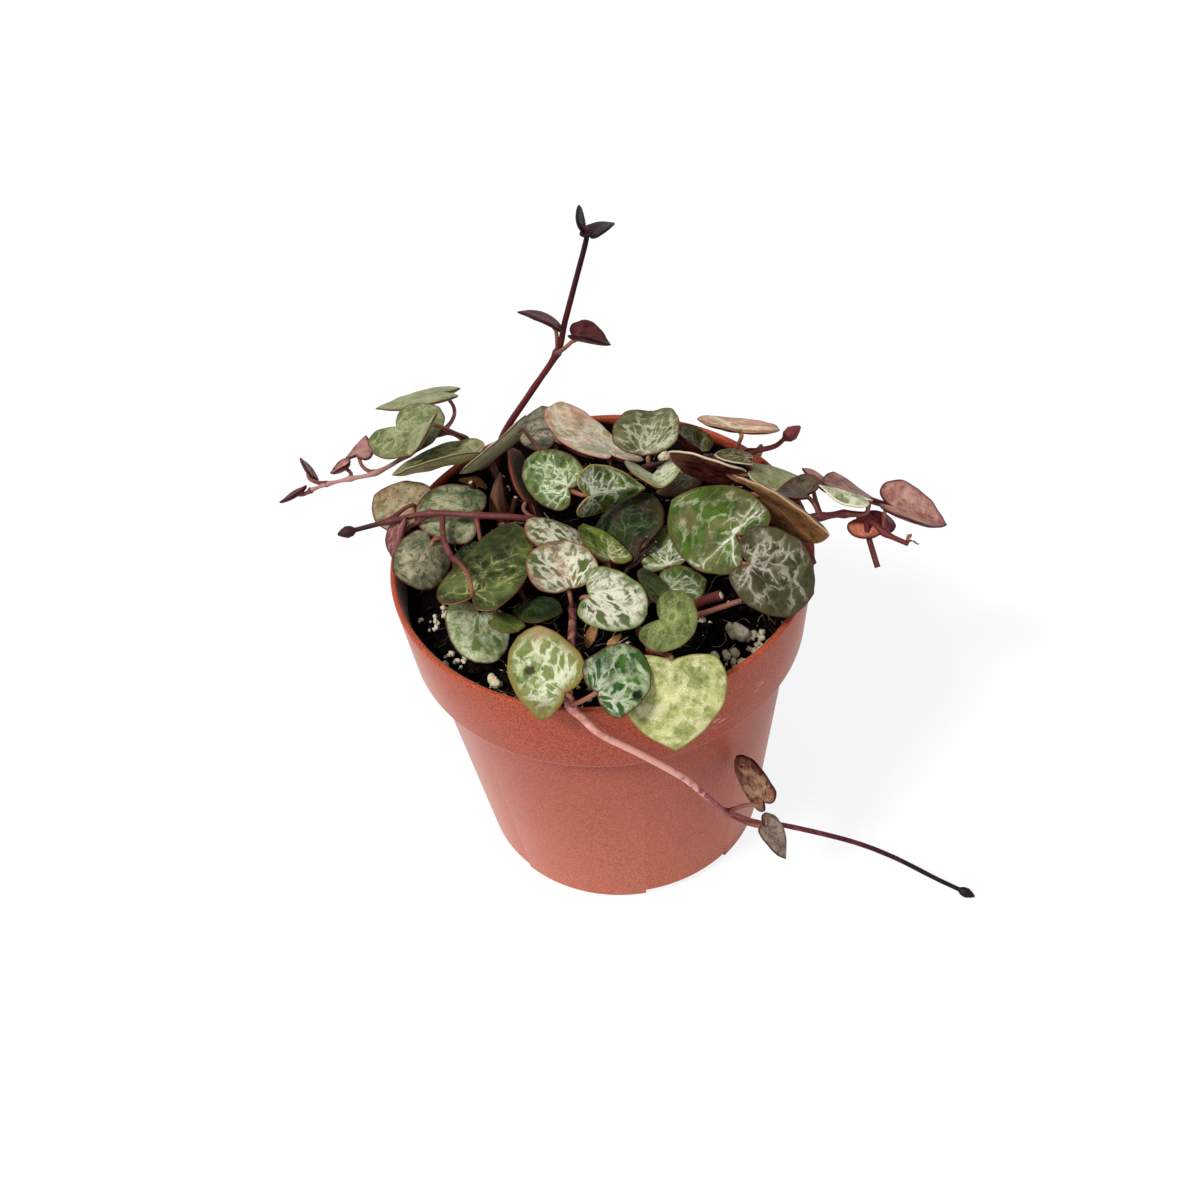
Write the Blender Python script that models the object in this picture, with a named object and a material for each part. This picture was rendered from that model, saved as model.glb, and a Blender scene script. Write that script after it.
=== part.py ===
"""Potted string of hearts: a small plastic pot, its soil, ten vines and their leaves.

World units are metres, +Z is up.  The origin is on the pot's axis, on the surface that it
stands on.  Every size and place below is written in millimetres and scaled by MM.
"""
import math

import bmesh
import bpy
from mathutils import Vector

MM = 0.001

# ---- pot and soil -------------------------------------------------------------------------
POT_HEIGHT = 54.2
RIM_RADIUS = 30.0
COLLAR_FOOT_RADIUS = 28.8
COLLAR_FOOT_HEIGHT = 41.0
BODY_TOP_RADIUS = 27.0
BASE_RADIUS = 21.8
WALL = 0.9
BASE_THICKNESS = 1.2
FOOT_BEVEL = 0.6
EDGE_BEVEL = 0.3            # of the collar's and the rim's outer edges
STEP_TOP = COLLAR_FOOT_HEIGHT + 1.0     # inside the pot, where the wall steps in
STEP_FOOT = COLLAR_FOOT_HEIGHT - 0.6
POT_SIDES = 48
SOIL_GAP = 0.3
SOIL_STEP_LIFT = 0.1        # of the soil's shoulder above the pot's inner step
SOIL_EDGE_HEIGHT = 49.0
SOIL_CROWN_HEIGHT = 51.0
SOIL_DOME = [(1.0, 0.0), (0.8, 0.5), (0.5, 0.85), (0.0, 1.0)]   # shares of radius and rise
NOTCH_COUNT = 4
NOTCH_SWEEP = 38.0          # degrees of the foot that each drainage notch takes
NOTCH_CENTRE = -67.0        # heading of the first notch, in degrees
NOTCH_HEIGHT = 1.3
NOTCH_DEPTH = 3.6
CUT_MARGIN = 1.0            # by which a cutter stands past what it cuts
SMOOTH_ANGLE = 40.0         # degrees, above which an edge stays sharp

# ---- stems --------------------------------------------------------------------------------
STEM_SIDES = 6
STALK_SIDES = 5
STEM_STEPS = 2              # points on a stem for each point of its route
STEM_RADIUS = 0.55
TIP_RADIUS = 0.35
SIDE_STEM_RADIUS = 0.42
BUD_SHAPE = [(0.2, 0.85), (0.5, 1.0), (0.8, 0.6), (1.0, 0.2)]   # shares of length and radius
PETIOLE_RADIUS = 0.32
PETIOLE_STEPS = 3
PETIOLE_FOOT = 1.15         # a stalk's radius where it leaves the stem, as a share
STALK_BACK = 0.4            # a stalk ends this far behind its blade's notch,
STALK_BELOW = 0.78          # and this far under the blade
STALK_ABOVE = 0.65          # or over it, where it comes from above
STALK_BEND = 0.4            # share of a stalk that runs in its final direction
YOUNG_REACH = 0.25          # a young leaf's stalk ends inside it: share of its length
YOUNG_DEPTH = 0.1

# ---- leaves -------------------------------------------------------------------------------
# Half of a blade's outline, from the notch at the stalk to the tip: x in half widths from the
# midrib, y in blade lengths.  "point" goes from 0, round, to 1, heart-shaped, and "lobe"
# scales how far the two lobes reach back past the stalk.
ROUND_HALF = [(0, 0), (0.16, -0.12), (0.42, -0.21), (0.74, -0.16), (0.95, 0.04),
              (1.0, 0.32), (0.92, 0.60), (0.72, 0.81), (0.40, 0.95), (0, 1.0)]
HEART_HALF = [(0, 0), (0.16, -0.12), (0.42, -0.20), (0.74, -0.14), (0.95, 0.06),
              (1.0, 0.28), (0.90, 0.52), (0.66, 0.74), (0.32, 0.91), (0, 1.04)]
BLADE_CENTRE = 0.32         # on the midrib, in blade lengths
BLADE_RINGS = (0.62, 1.0)
BLADE_THIN = 0.5            # thickness of the smallest blade
BLADE_THICKENING = 0.05     # thickness gained for each millimetre of length
UPPER_SHARE = 0.3           # of the thickness lies above the blade's middle surface
RIM_FULLNESS = 4            # how far out a blade keeps its thickness
RIM_ROUNDING = 0.6          # how bluntly it then ends
CUP_SHARE = 0.7             # of the stated cup reaches the blade's sides
CUP_CENTRE = 0.35           # the cup's lowest place, in blade lengths
FOLD_ROUND = 0.55           # radius of the fold along the midrib
CURL_START = 0.1            # where the curl towards the tip begins, in blade lengths

# name: stalk point x, y, z | heading, pitch, roll in degrees | length, width |
#       cup in mm, fold in degrees, curl in mm, point, lobe
LEAVES = {
    "crown_1": ((2.7, 12.1, 60.7), (121, -7, 32), (14.2, 12.8), (1.6, -10, 2.0, 0.0, 0.9)),
    "crown_2": ((-5.0, 19.0, 58.5), (100, -5, 5), (9.0, 9.5), (0.7, -10, 0.5, 0.5, 1.0)),
    "crown_3": ((-9.4, 7.8, 57.9), (98, 5, 70), (9.6, 9.6), (0.2, -8, 0.5, 0.2, 1.0)),
    "crown_4": ((-3.5, 4.0, 62.5), (130, 0, -40), (9.0, 8.0), (0.5, -5, 0.0, 0.2, 0.8)),
    "crown_5": ((-1.0, 1.0, 63.5), (35, -20, 75), (8.5, 7.5), (1.0, -35, 1.5, 1.0, 0.9)),
    "crown_6": ((8.6, 10.3, 58.0), (-85, 20, -5), (7.5, 8.5), (0.7, 30, 0.5, 0.3, 0.6)),
    "crown_7": ((14.5, 11.5, 56.0), (185, -20, 15), (6.0, 6.5), (-0.1, -10, 0.0, 0.5, 1.1)),
    "crown_8": ((8.0, 9.8, 62.2), (82, 5, -4), (9.3, 9.6), (0.2, 30, -0.6, 0.1, 0.3)),
    "back_right_1": ((19.0, 3.5, 63.0), (170, 20, 60), (9.0, 9.5), (0.0, -10, 0.5, 0.4, 0.9)),
    "back_right_2": ((15.6, 12.0, 59.5), (140, 25, 30), (6.0, 7.0), (1.0, 20, 0.0, 0.4, 0.6)),
    "back_right_3": ((21.8, 12.2, 62.8), (95, -29, 15), (8.4, 12.0), (0.3, 4, 0.4, 0.3, 0.9)),
    "back_right_4": ((22.0, 8.5, 60.8), (170, 15, 15), (4.6, 4.6), (-0.3, 5, -0.5, 0.4, 1.0)),
    "back_right_5": ((23.0, 9.0, 58.0), (0, -25, -15), (7.5, 8.5), (0.2, -10, 0.5, 0.5, 0.9)),
    "right_1": ((22.5, 0.0, 62.0), (-50, 5, -65), (13.0, 14.5), (-1.3, -5, 0.0, 0.8, 0.3)),
    "right_2": ((29.5, 1.5, 59.0), (135, -15, 0), (5.0, 6.0), (0.5, 20, -0.5, 0.2, 1.2)),
    "right_3": ((33.5, 7.0, 55.1), (140, 30, 30), (4.5, 4.5), (-0.2, 0, -0.5, 0.6, 1.0)),
    "right_4": ((38.5, 2.5, 56.0), (120, -15, 35), (8.5, 10.0), (0.9, -15, 1.0, 0.3, 1.1)),
    "right_5": ((37.0, -1.6, 59.8), (152, 2, 26), (6.6, 5.2), (-0.2, -12, 0.6, 1.0, 0.7)),
    "right_6": ((39.0, -0.5, 53.5), (170, -15, 0), (4.0, 4.5), (0.0, -5, 1.0, 0.0, 1.0)),
    "right_7": ((38.0, 1.0, 52.5), (15, -5, 5), (4.5, 5.0), (-0.3, 5, -0.5, 0.0, 1.0)),
    "right_8": ((40.9, -0.6, 57.0), (-18, -20, -12), (8.0, 9.8), (0.3, 20, 0.2, 1.0, 1.3)),
    "left_back_1": ((-21.5, 33.0, 59.0), (-180, -5, 25), (10.5, 11.0), (-0.2, 0, -0.5, 0.8, 1.2)),
    "left_back_2": ((-28.5, 24.7, 60.2), (-50, 8, 10), (9.5, 12.0), (0.2, 0, 1.0, 0.3, 1.0)),
    "left_back_3": ((-22.9, 19.0, 64.6), (-115, -10, 46), (6.2, 6.4), (0.1, 8, 0.0, 0.4, 0.8)),
    "left_back_4": ((-35.5, 25.0, 55.0), (65, 0, -10), (4.0, 4.5), (0.5, -30, 0.5, 1.0, 0.6)),
    "left_back_5": ((-36.5, 23.0, 55.0), (-170, -15, 20), (3.0, 3.5), (0.8, 10, -0.5, 0.9, 1.0)),
    "left_back_6": ((-42.0, 21.5, 55.0), (115, 25, 65), (3.5, 4.0), (0.2, 5, -0.5, 1.0, 1.0)),
    "left_back_7": ((-43.5, 19.0, 54.5), (-175, -25, 25), (4.0, 3.0), (0.1, 10, 0.0, 0.9, 1.0)),
    "left_1": ((-16.6, 15.4, 60.9), (-178, -6, 28), (12.5, 10.5), (0.0, 18, -0.6, 0.4, 0.5)),
    "left_2": ((-10.0, 15.3, 65.2), (-150, -20, 55), (10.5, 11.0), (0.7, -10, 0.0, 0.5, 0.8)),
    "left_3": ((-26.2, 10.4, 55.9), (150, 0, -10), (6.6, 9.6), (0.6, -5, 0.5, 0.4, 0.9)),
    "left_4": ((-17.4, 7.3, 56.2), (165, 10, -3), (8.8, 11.6), (-0.5, 2, -0.3, 0.1, 0.5)),
    "left_5": ((-23.5, 1.3, 57.4), (-115, -5, -30), (8.0, 8.0), (-0.5, -15, 0.5, 0.0, 1.0)),
    "left_6": ((-28.0, 6.0, 57.5), (-115, -30, 40), (5.0, 5.5), (0.0, 10, -0.5, 0.9, 1.0)),
    "left_7": ((-16.9, 1.6, 55.1), (-130, -5, 0), (5.5, 5.5), (-0.3, 5, 0.0, 0.3, 0.8)),
    "front_left_1": ((-17.7, -11.2, 58.3), (63, -8, -5), (13.8, 11.2), (2.0, -12, 2.2, 0.1, 1.15)),
    "front_left_2": ((-17.5, -10.0, 54.0), (-95, -5, -30), (8.5, 9.5), (0.0, 0, 0.0, 0.2, 1.0)),
    "front_left_3": ((-15.0, -13.5, 56.0), (-20, -15, -15), (4.0, 4.5), (0.1, -5, 0.5, 0.4, 1.1)),
    "front_left_4": ((-10.1, -9.7, 54.9), (-65, 12, -5), (5.6, 6.5), (-0.3, -5, 0.3, 0.0, 0.8)),
    "centre_1": ((-4.8, -12.8, 59.5), (108, 6, 5), (7.8, 9.5), (1.0, 12, 0.8, 0.1, 0.3)),
    "centre_2": ((-3.5, -3.0, 57.5), (145, 20, 15), (8.0, 8.0), (-0.5, 0, 0.0, 0.2, 1.0)),
    "centre_3": ((1.0, -6.5, 58.0), (115, 5, 35), (7.5, 8.0), (0.5, 10, 0.0, 0.9, 0.7)),
    "centre_4": ((1.5, 5.0, 56.5), (-65, 10, 30), (10.5, 12.0), (-0.8, -20, 0.0, 0.3, 0.7)),
    "centre_5": ((9.0, -7.0, 56.0), (85, -5, -15), (7.5, 7.5), (1.4, 5, 0.5, 0.9, 1.0)),
    "centre_6": ((8.5, -11.5, 56.0), (15, 0, 25), (5.5, 6.0), (0.4, 10, -0.5, 0.8, 0.8)),
    "centre_7": ((7.0, -14.5, 58.0), (110, 15, 35), (5.0, 5.0), (0.0, 5, 0.0, 0.1, 1.0)),
    "centre_8": ((6.5, -21.1, 60.7), (-50, 15, 30), (7.0, 8.5), (0.5, 10, 0.5, 0.1, 0.9)),
    "centre_9": ((-2.2, -15.7, 60.9), (-15, -20, 20), (8.0, 8.7), (0.4, 12, 0.0, 0.1, 0.6)),
    "front_1": ((-6.5, -30.5, 59.0), (120, 5, -40), (11.4, 10.2), (0.0, 10, -0.5, 0.2, 0.4)),
    "front_2": ((-2.4, -32.3, 60.6), (42, -8, 40), (8.7, 8.6), (0.6, 5, 0.0, 0.1, 0.5)),
    "front_3": ((7.4, -27.0, 59.1), (-95, -48, -3), (11.2, 13.6), (0.1, 0, 0.4, 0.8, 0.35)),
    "broad_1": ((18.0, -10.0, 63.5), (125, -10, -30), (13.0, 12.5), (-0.2, -15, 0.5, 0.1, 1.0)),
    "broad_2": ((19.0, -14.5, 62.5), (-5, -35, 35), (10.5, 11.5), (0.3, 15, -0.5, 0.4, 1.2)),
    "tall_1": ((-3.0, 24.0, 76.0), (165, 30, 25), (5.5, 5.5), (-0.7, 15, -0.5, 1.0, 1.0)),
    "tall_2": ((-0.5, 20.5, 76.0), (-10, -10, -15), (5.0, 6.0), (0.1, 30, -0.5, 1.0, 1.0)),
    "tall_3": ((2.0, 22.5, 92.5), (145, 75, 20), (3.0, 3.0), (0.2, 0, 0.5, 0.8, 1.0)),
    "tall_4": ((3.0, 21.0, 92.0), (40, 10, -15), (4.0, 4.5), (0.0, 10, -1.0, 0.8, 1.0)),
    "trailing_1": ((19.0, -27.0, 27.5), (120, 25, -80), (7.5, 7.5), (-0.4, -5, -0.5, 0.2, 0.7)),
    "trailing_2": ((19.5, -26.5, 21.0), (-35, -45, -20), (6.0, 6.5), (-0.6, 15, -1.0, 1.0, 0.9)),
}

# Each vine: the route of its stem from the soil outwards, the leaf stalks that spring from a
# numbered point of that route, side stems, and a bud (length, radius) at its tip.  The
# leaves named as young are still one piece with the shoot.
VINES = {
    "vine_tall": dict(
        route=[(-15.0, 21.5, 50.4), (-13.0, 23.2, 57.0), (-8.0, 23.5, 64.5), (-3.3, 23.5, 71.4),
               (-1.7, 23.5, 76.6), (0.4, 23.2, 83.5), (2.2, 22.8, 89.5), (2.6, 22.3, 91.8)],
        stalks={"tall_1": 3, "tall_2": 3, "tall_3": 7, "tall_4": 7},
        young=["tall_3", "tall_4"]),
    "vine_left_back": dict(
        route=[(-13.5, 17.0, 50.8), (-15.0, 19.5, 55.5), (-18.5, 22.5, 58.2),
               (-22.0, 23.5, 59.0), (-27.0, 21.5, 57.2), (-32.0, 19.5, 56.0),
               (-36.0, 19.2, 55.6), (-39.5, 19.0, 55.2), (-42.0, 18.5, 54.8)],
        stalks={"left_1": 1, "left_back_1": 3, "left_back_2": 4,
                "left_back_3": 2, "left_back_4": 5, "left_back_5": 6, "left_back_6": 7,
                "left_back_7": 8},
        young=["left_back_4", "left_back_5", "left_back_6", "left_back_7"]),
    "vine_left": dict(
        route=[(-4.5, 5.5, 51.5), (-6.5, 4.2, 56.0), (-11.0, 3.4, 58.6), (-17.0, 4.4, 59.0),
               (-23.5, 5.6, 59.2), (-29.5, 6.4, 57.8), (-34.5, 6.0, 57.2)],
        stalks={"crown_3": 1, "left_3": 5, "left_4": 3, "left_6": 4, "left_7": 3,
                "left_5": 8, "front_left_1": 9},
        side_stems=[[(-21.8, 5.4, 58.9), (-21.8, 1.6, 58.0), (-20.8, -2.0, 57.4)]],
        bud=(2.6, 0.9),
        young=["left_6"]),
    "vine_front_left": dict(
        route=[(-10.5, -3.0, 51.3), (-12.0, -5.0, 53.6), (-14.5, -7.0, 54.0),
               (-17.0, -7.8, 53.4)],
        stalks={"front_left_2": 3, "front_left_3": 2, "front_left_4": 1},
        young=["front_left_3"]),
    "vine_crown": dict(
        route=[(-6.5, 12.5, 51.5), (-4.5, 10.5, 55.5), (-1.5, 8.8, 57.4), (2.5, 10.0, 57.4),
               (7.5, 12.6, 57.2), (12.0, 16.0, 55.0), (16.5, 14.5, 54.0)],
        stalks={"crown_1": 3, "crown_2": 1, "crown_4": 2, "crown_5": 2, "crown_6": 4,
                "crown_7": 6, "crown_8": 4, "centre_4": 2, "left_2": 1},
        young=[]),
    "vine_back_right": dict(
        route=[(14.0, 18.0, 51.0), (15.5, 16.5, 55.0), (17.4, 13.6, 57.0), (20.0, 12.2, 57.9),
               (22.9, 12.9, 58.0), (26.6, 13.6, 58.0), (28.2, 14.5, 58.4)],
        stalks={"back_right_1": 2, "back_right_2": 1, "back_right_3": 3, "back_right_4": 4,
                "back_right_5": 3},
        bud=(3.2, 1.1),
        young=[]),
    "vine_right": dict(
        route=[(21.5, 2.5, 50.7), (25.0, 1.5, 54.6), (31.0, -0.5, 56.4), (34.5, 0.2, 55.8),
               (37.5, -0.4, 55.4), (39.8, -2.6, 54.0), (42.5, -5.3, 54.0)],
        stalks={"right_1": 1, "right_2": 2, "right_3": 2, "right_4": 4, "right_5": 3,
                "right_6": 4, "right_7": 4, "right_8": 5},
        side_stems=[[(37.5, -0.4, 55.4), (37.8, -1.6, 52.6), (38.6, -4.8, 49.5)]],
        young=["right_3", "right_6", "right_7"]),
    "vine_middle": dict(
        route=[(-3.5, 1.0, 51.5), (-1.0, -1.5, 54.0), (1.5, -5.0, 55.0), (3.0, -9.0, 54.4),
               (3.5, -13.5, 54.6), (4.0, -18.0, 55.4), (5.0, -22.0, 56.0)],
        stalks={"centre_2": 1, "centre_3": 2, "centre_5": 3, "centre_6": 3,
                "centre_7": 4, "centre_8": 5, "centre_9": 4, "front_3": 6},
        young=["centre_7"]),
    "vine_broad": dict(
        route=[(12.5, -4.0, 51.4), (15.0, -6.0, 55.0), (18.0, -7.6, 57.4), (19.4, -8.6, 58.8)],
        stalks={"broad_1": 3, "broad_2": 3},
        side_stems=[[(18.0, -7.6, 57.4), (23.0, -5.0, 56.0), (28.0, -4.6, 55.6),
                     (28.8, -8.3, 55.2)]],
        young=[]),
    "vine_trailing": dict(
        route=[(-4.8, -9.0, 51.4), (-4.6, -12.5, 55.5), (-5.2, -19.6, 56.6),
               (-6.0, -27.0, 56.4), (-6.0, -30.4, 56.5), (-4.5, -31.3, 54.5),
               (-2.5, -31.6, 51.5), (2.3, -31.0, 46.0), (7.5, -29.5, 38.5),
               (10.2, -28.2, 33.0), (12.4, -27.0, 28.0), (14.2, -25.6, 24.0),
               (18.6, -25.0, 20.0), (23.1, -24.0, 17.0), (32.7, -23.6, 11.0),
               (39.2, -24.5, 7.0), (45.6, -26.3, 2.8), (49.0, -27.8, 1.4)],
        stalks={"centre_1": 1, "front_1": 4, "front_2": 4, "trailing_1": 11,
                "trailing_2": 11},
        bud=(2.6, 0.8),
        young=[]),
}

# How a stalk comes up to its leaf: the shares along the midrib and from under the blade.
APPROACH = (0.45, 0.6)
APPROACHES = {
    "back_right_1": (0.8, 0.2), "back_right_3": (-0.6, 0.8), "broad_2": (-0.5, 0.4),
    "crown_5": (0.1, 0.8), "crown_8": (-0.5, 0.8), "front_3": (0.0, 0.9),
    "front_left_1": (-0.2, -0.7), "left_1": (-0.5, 0.8), "left_2": (0.0, 0.8),
    "left_3": (0.0, -1.0), "left_4": (-0.5, -0.5), "left_5": (-0.5, -0.5),
    "left_7": (0.0, -1.0), "right_8": (0.0, 0.9),
    "left_back_2": (0.0, 0.4), "left_back_3": (0.3, 0.8), "right_1": (0.7, 0.2),
    "right_3": (-0.5, 0.0), "right_4": (0.2, 0.8), "trailing_1": (-0.5, -0.5),
}

# A dry, papery sheath that stands in the soil: its spine and its radius at each point.
SHEATH_SPINE = [(-14.4, 12.4, 51.1), (-14.2, 12.4, 54.0), (-13.8, 12.4, 57.0), (-13.2, 12.3, 59.6)]
SHEATH_RADII = [1.5, 1.3, 0.8, 0.15]

COLOURS = {
    "pot": ((0.62, 0.27, 0.20), 0.5),
    "soil": ((0.025, 0.018, 0.015), 0.95),
    "stem": ((0.13, 0.045, 0.045), 0.6),
    "leaf": ((0.17, 0.23, 0.12), 0.45),
    "sheath": ((0.22, 0.10, 0.05), 0.7),
}


def clear_scene():
    for item in list(bpy.data.objects):
        bpy.data.objects.remove(item, do_unlink=True)


def material(slot):
    found = bpy.data.materials.get(slot)
    if found:
        return found
    colour, roughness = COLOURS[slot]
    made = bpy.data.materials.new(slot)
    made.use_nodes = True
    shader = made.node_tree.nodes["Principled BSDF"]
    shader.inputs["Base Color"].default_value = (*colour, 1.0)
    shader.inputs["Roughness"].default_value = roughness
    return made


def mesh_object(name, points, faces, slot):
    """An object from points in millimetres, with its faces turned outwards."""
    mesh = bpy.data.meshes.new(name)
    mesh.from_pydata([Vector(p) * MM for p in points], [], faces)
    shape = bmesh.new()
    shape.from_mesh(mesh)
    bmesh.ops.recalc_face_normals(shape, faces=shape.faces)
    shape.to_mesh(mesh)
    shape.free()
    mesh.shade_smooth()
    mesh.set_sharp_from_angle(angle=math.radians(SMOOTH_ANGLE))
    mesh.materials.append(material(slot))
    made = bpy.data.objects.new(name, mesh)
    bpy.context.scene.collection.objects.link(made)
    return made


def combine(base, others, operation):
    """Unite or cut base with the other objects, which are then removed."""
    for other in others:
        step = base.modifiers.new(other.name, "BOOLEAN")
        step.operation = operation
        step.solver = "EXACT"
        step.object = other
    bpy.context.view_layer.update()
    graph = bpy.context.evaluated_depsgraph_get()
    result = bpy.data.meshes.new_from_object(base.evaluated_get(graph))
    base.modifiers.clear()
    base.data = result
    for other in others:
        bpy.data.objects.remove(other, do_unlink=True)
    return base


def turned(name, profile, slot, sides=POT_SIDES):
    """A solid turned about +Z from (radius, height) points, both ends on the axis."""
    points, rings, faces = [], [], []
    for radius, height in profile:
        if radius == 0:
            rings.append([len(points)])
            points.append((0, 0, height))
            continue
        rings.append(list(range(len(points), len(points) + sides)))
        for side in range(sides):
            angle = math.tau * side / sides
            points.append((radius * math.cos(angle), radius * math.sin(angle), height))
    for lower, upper in zip(rings, rings[1:]):
        for side in range(sides):
            after = (side + 1) % sides
            if len(lower) == 1:
                faces.append((lower[0], upper[side], upper[after]))
            elif len(upper) == 1:
                faces.append((lower[side], lower[after], upper[0]))
            else:
                faces.append((lower[side], lower[after], upper[after], upper[side]))
    return mesh_object(name, points, faces, slot)


def sector(name, centre, sweep, radii, heights, steps=5):
    """A block that fills part of a ring, for cutting."""
    points, faces = [], []
    for step in range(steps + 1):
        angle = math.radians(centre - sweep / 2 + sweep * step / steps)
        for radius, height in ((radii[0], heights[0]), (radii[1], heights[0]),
                               (radii[1], heights[1]), (radii[0], heights[1])):
            points.append((radius * math.cos(angle), radius * math.sin(angle), height))
    for step in range(steps):
        for side in range(4):
            here = 4 * step + side
            beside = 4 * step + (side + 1) % 4
            faces.append((here, beside, beside + 4, here + 4))
    faces.append((3, 2, 1, 0))
    faces.append(tuple(4 * steps + side for side in range(4)))
    return mesh_object(name, points, faces, "pot")


def wall_radius(height):
    """Outer radius of the pot's body below its collar."""
    return BASE_RADIUS + (BODY_TOP_RADIUS - BASE_RADIUS) * height / COLLAR_FOOT_HEIGHT


def build_pot():
    profile = [
        (0, 0), (BASE_RADIUS - FOOT_BEVEL, 0), (BASE_RADIUS, FOOT_BEVEL),
        (BODY_TOP_RADIUS, COLLAR_FOOT_HEIGHT),
        (COLLAR_FOOT_RADIUS - EDGE_BEVEL, COLLAR_FOOT_HEIGHT),
        (COLLAR_FOOT_RADIUS, COLLAR_FOOT_HEIGHT + EDGE_BEVEL),
        (RIM_RADIUS, POT_HEIGHT - EDGE_BEVEL),
        (RIM_RADIUS - EDGE_BEVEL, POT_HEIGHT), (RIM_RADIUS - WALL, POT_HEIGHT),
        (COLLAR_FOOT_RADIUS - WALL, STEP_TOP), (BODY_TOP_RADIUS - WALL, STEP_FOOT),
        (wall_radius(BASE_THICKNESS) - WALL, BASE_THICKNESS), (0, BASE_THICKNESS)]
    pot = turned("pot", profile, "pot")
    cuts = []
    for number in range(NOTCH_COUNT):
        heading = NOTCH_CENTRE + 360.0 * number / NOTCH_COUNT
        cuts.append(sector(f"notch_{number}", heading, NOTCH_SWEEP,
                           (BASE_RADIUS - NOTCH_DEPTH, BASE_RADIUS + CUT_MARGIN),
                           (-CUT_MARGIN, NOTCH_HEIGHT)))
    return combine(pot, cuts, "DIFFERENCE")


def build_soil():
    floor = BASE_THICKNESS + SOIL_GAP
    inset = WALL + SOIL_GAP
    slope = (RIM_RADIUS - COLLAR_FOOT_RADIUS) / (POT_HEIGHT - STEP_TOP)
    edge_radius = COLLAR_FOOT_RADIUS - inset + slope * (SOIL_EDGE_HEIGHT - STEP_TOP)
    rise = SOIL_CROWN_HEIGHT - SOIL_EDGE_HEIGHT
    profile = [
        (0, floor), (wall_radius(floor) - inset, floor),
        (BODY_TOP_RADIUS - inset, STEP_FOOT + SOIL_STEP_LIFT),
        (COLLAR_FOOT_RADIUS - inset, STEP_TOP + SOIL_STEP_LIFT)]
    profile += [(edge_radius * out, SOIL_EDGE_HEIGHT + rise * up) for out, up in SOIL_DOME]
    return turned("soil", profile, "soil")


def catmull(points, steps):
    """Points along a smooth curve through the given ones."""
    line = [Vector(p) for p in points]
    padded = [line[0] * 2 - line[1], *line, line[-1] * 2 - line[-2]]
    out = []
    for a, b, c, d in zip(padded, padded[1:], padded[2:], padded[3:]):
        for step in range(steps):
            t = step / steps
            out.append(0.5 * (2 * b + (c - a) * t + (2 * a - 5 * b + 4 * c - d) * t * t
                              + (3 * b - 3 * c + d - a) * t * t * t))
    out.append(line[-1])
    return out


def tube(name, line, radii, slot="stem", sides=STEM_SIDES):
    """A closed stem along a line, with a radius at each of its points."""
    points, faces = [], []
    along = (line[1] - line[0]).normalized()
    side = along.orthogonal().normalized()
    for index, centre in enumerate(line):
        ahead = line[min(index + 1, len(line) - 1)] - line[max(index - 1, 0)]
        turn = along.rotation_difference(ahead.normalized())
        side = turn @ side
        along = ahead.normalized()
        other = along.cross(side)
        for step in range(sides):
            angle = math.tau * step / sides
            points.append(centre + radii[index] * (math.cos(angle) * side
                                                   + math.sin(angle) * other))
    for ring in range(len(line) - 1):
        for step in range(sides):
            here = ring * sides + step
            beside = ring * sides + (step + 1) % sides
            faces.append((here, beside, beside + sides, here + sides))
    last = (len(line) - 1) * sides
    faces.append(tuple(reversed(range(sides))))
    faces.append(tuple(range(last, last + sides)))
    return mesh_object(name, points, faces, slot)


def leaf_axes(heading, pitch, roll):
    """Right, tip and upper-face directions of a blade."""
    turn, rise, bank = (math.radians(v) for v in (heading, pitch, roll))
    tip = Vector((math.cos(rise) * math.cos(turn), math.cos(rise) * math.sin(turn),
                  math.sin(rise)))
    level_up = Vector((-math.sin(rise) * math.cos(turn), -math.sin(rise) * math.sin(turn),
                       math.cos(rise)))
    level_right = tip.cross(level_up)
    up = math.cos(bank) * level_up + math.sin(bank) * level_right
    return tip.cross(up), tip, up


def outline(point, lobe):
    """The blade's outline as (x, y), once round from the stalk."""
    half = []
    for soft, sharp in zip(ROUND_HALF, HEART_HALF):
        x, y = (s * (1 - point) + h * point for s, h in zip(soft, sharp))
        half.append((x, y * lobe if y < 0 else y))
    return half + [(-x, y) for x, y in reversed(half[1:-1])]


def blade_middle(u, v, half_width, form):
    """Height of a blade's middle surface at u half widths and v lengths from its notch."""
    cup, fold, curl = form
    x = u * half_width
    bowl = u * u + ((v - CUP_CENTRE) / (1 - CUP_CENTRE)) ** 2
    ridge = math.sqrt(x * x + FOLD_ROUND ** 2) - FOLD_ROUND
    return (CUP_SHARE * cup * bowl + math.tan(math.radians(fold)) * ridge
            + curl * max(v - CURL_START, 0) ** 2)


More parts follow.
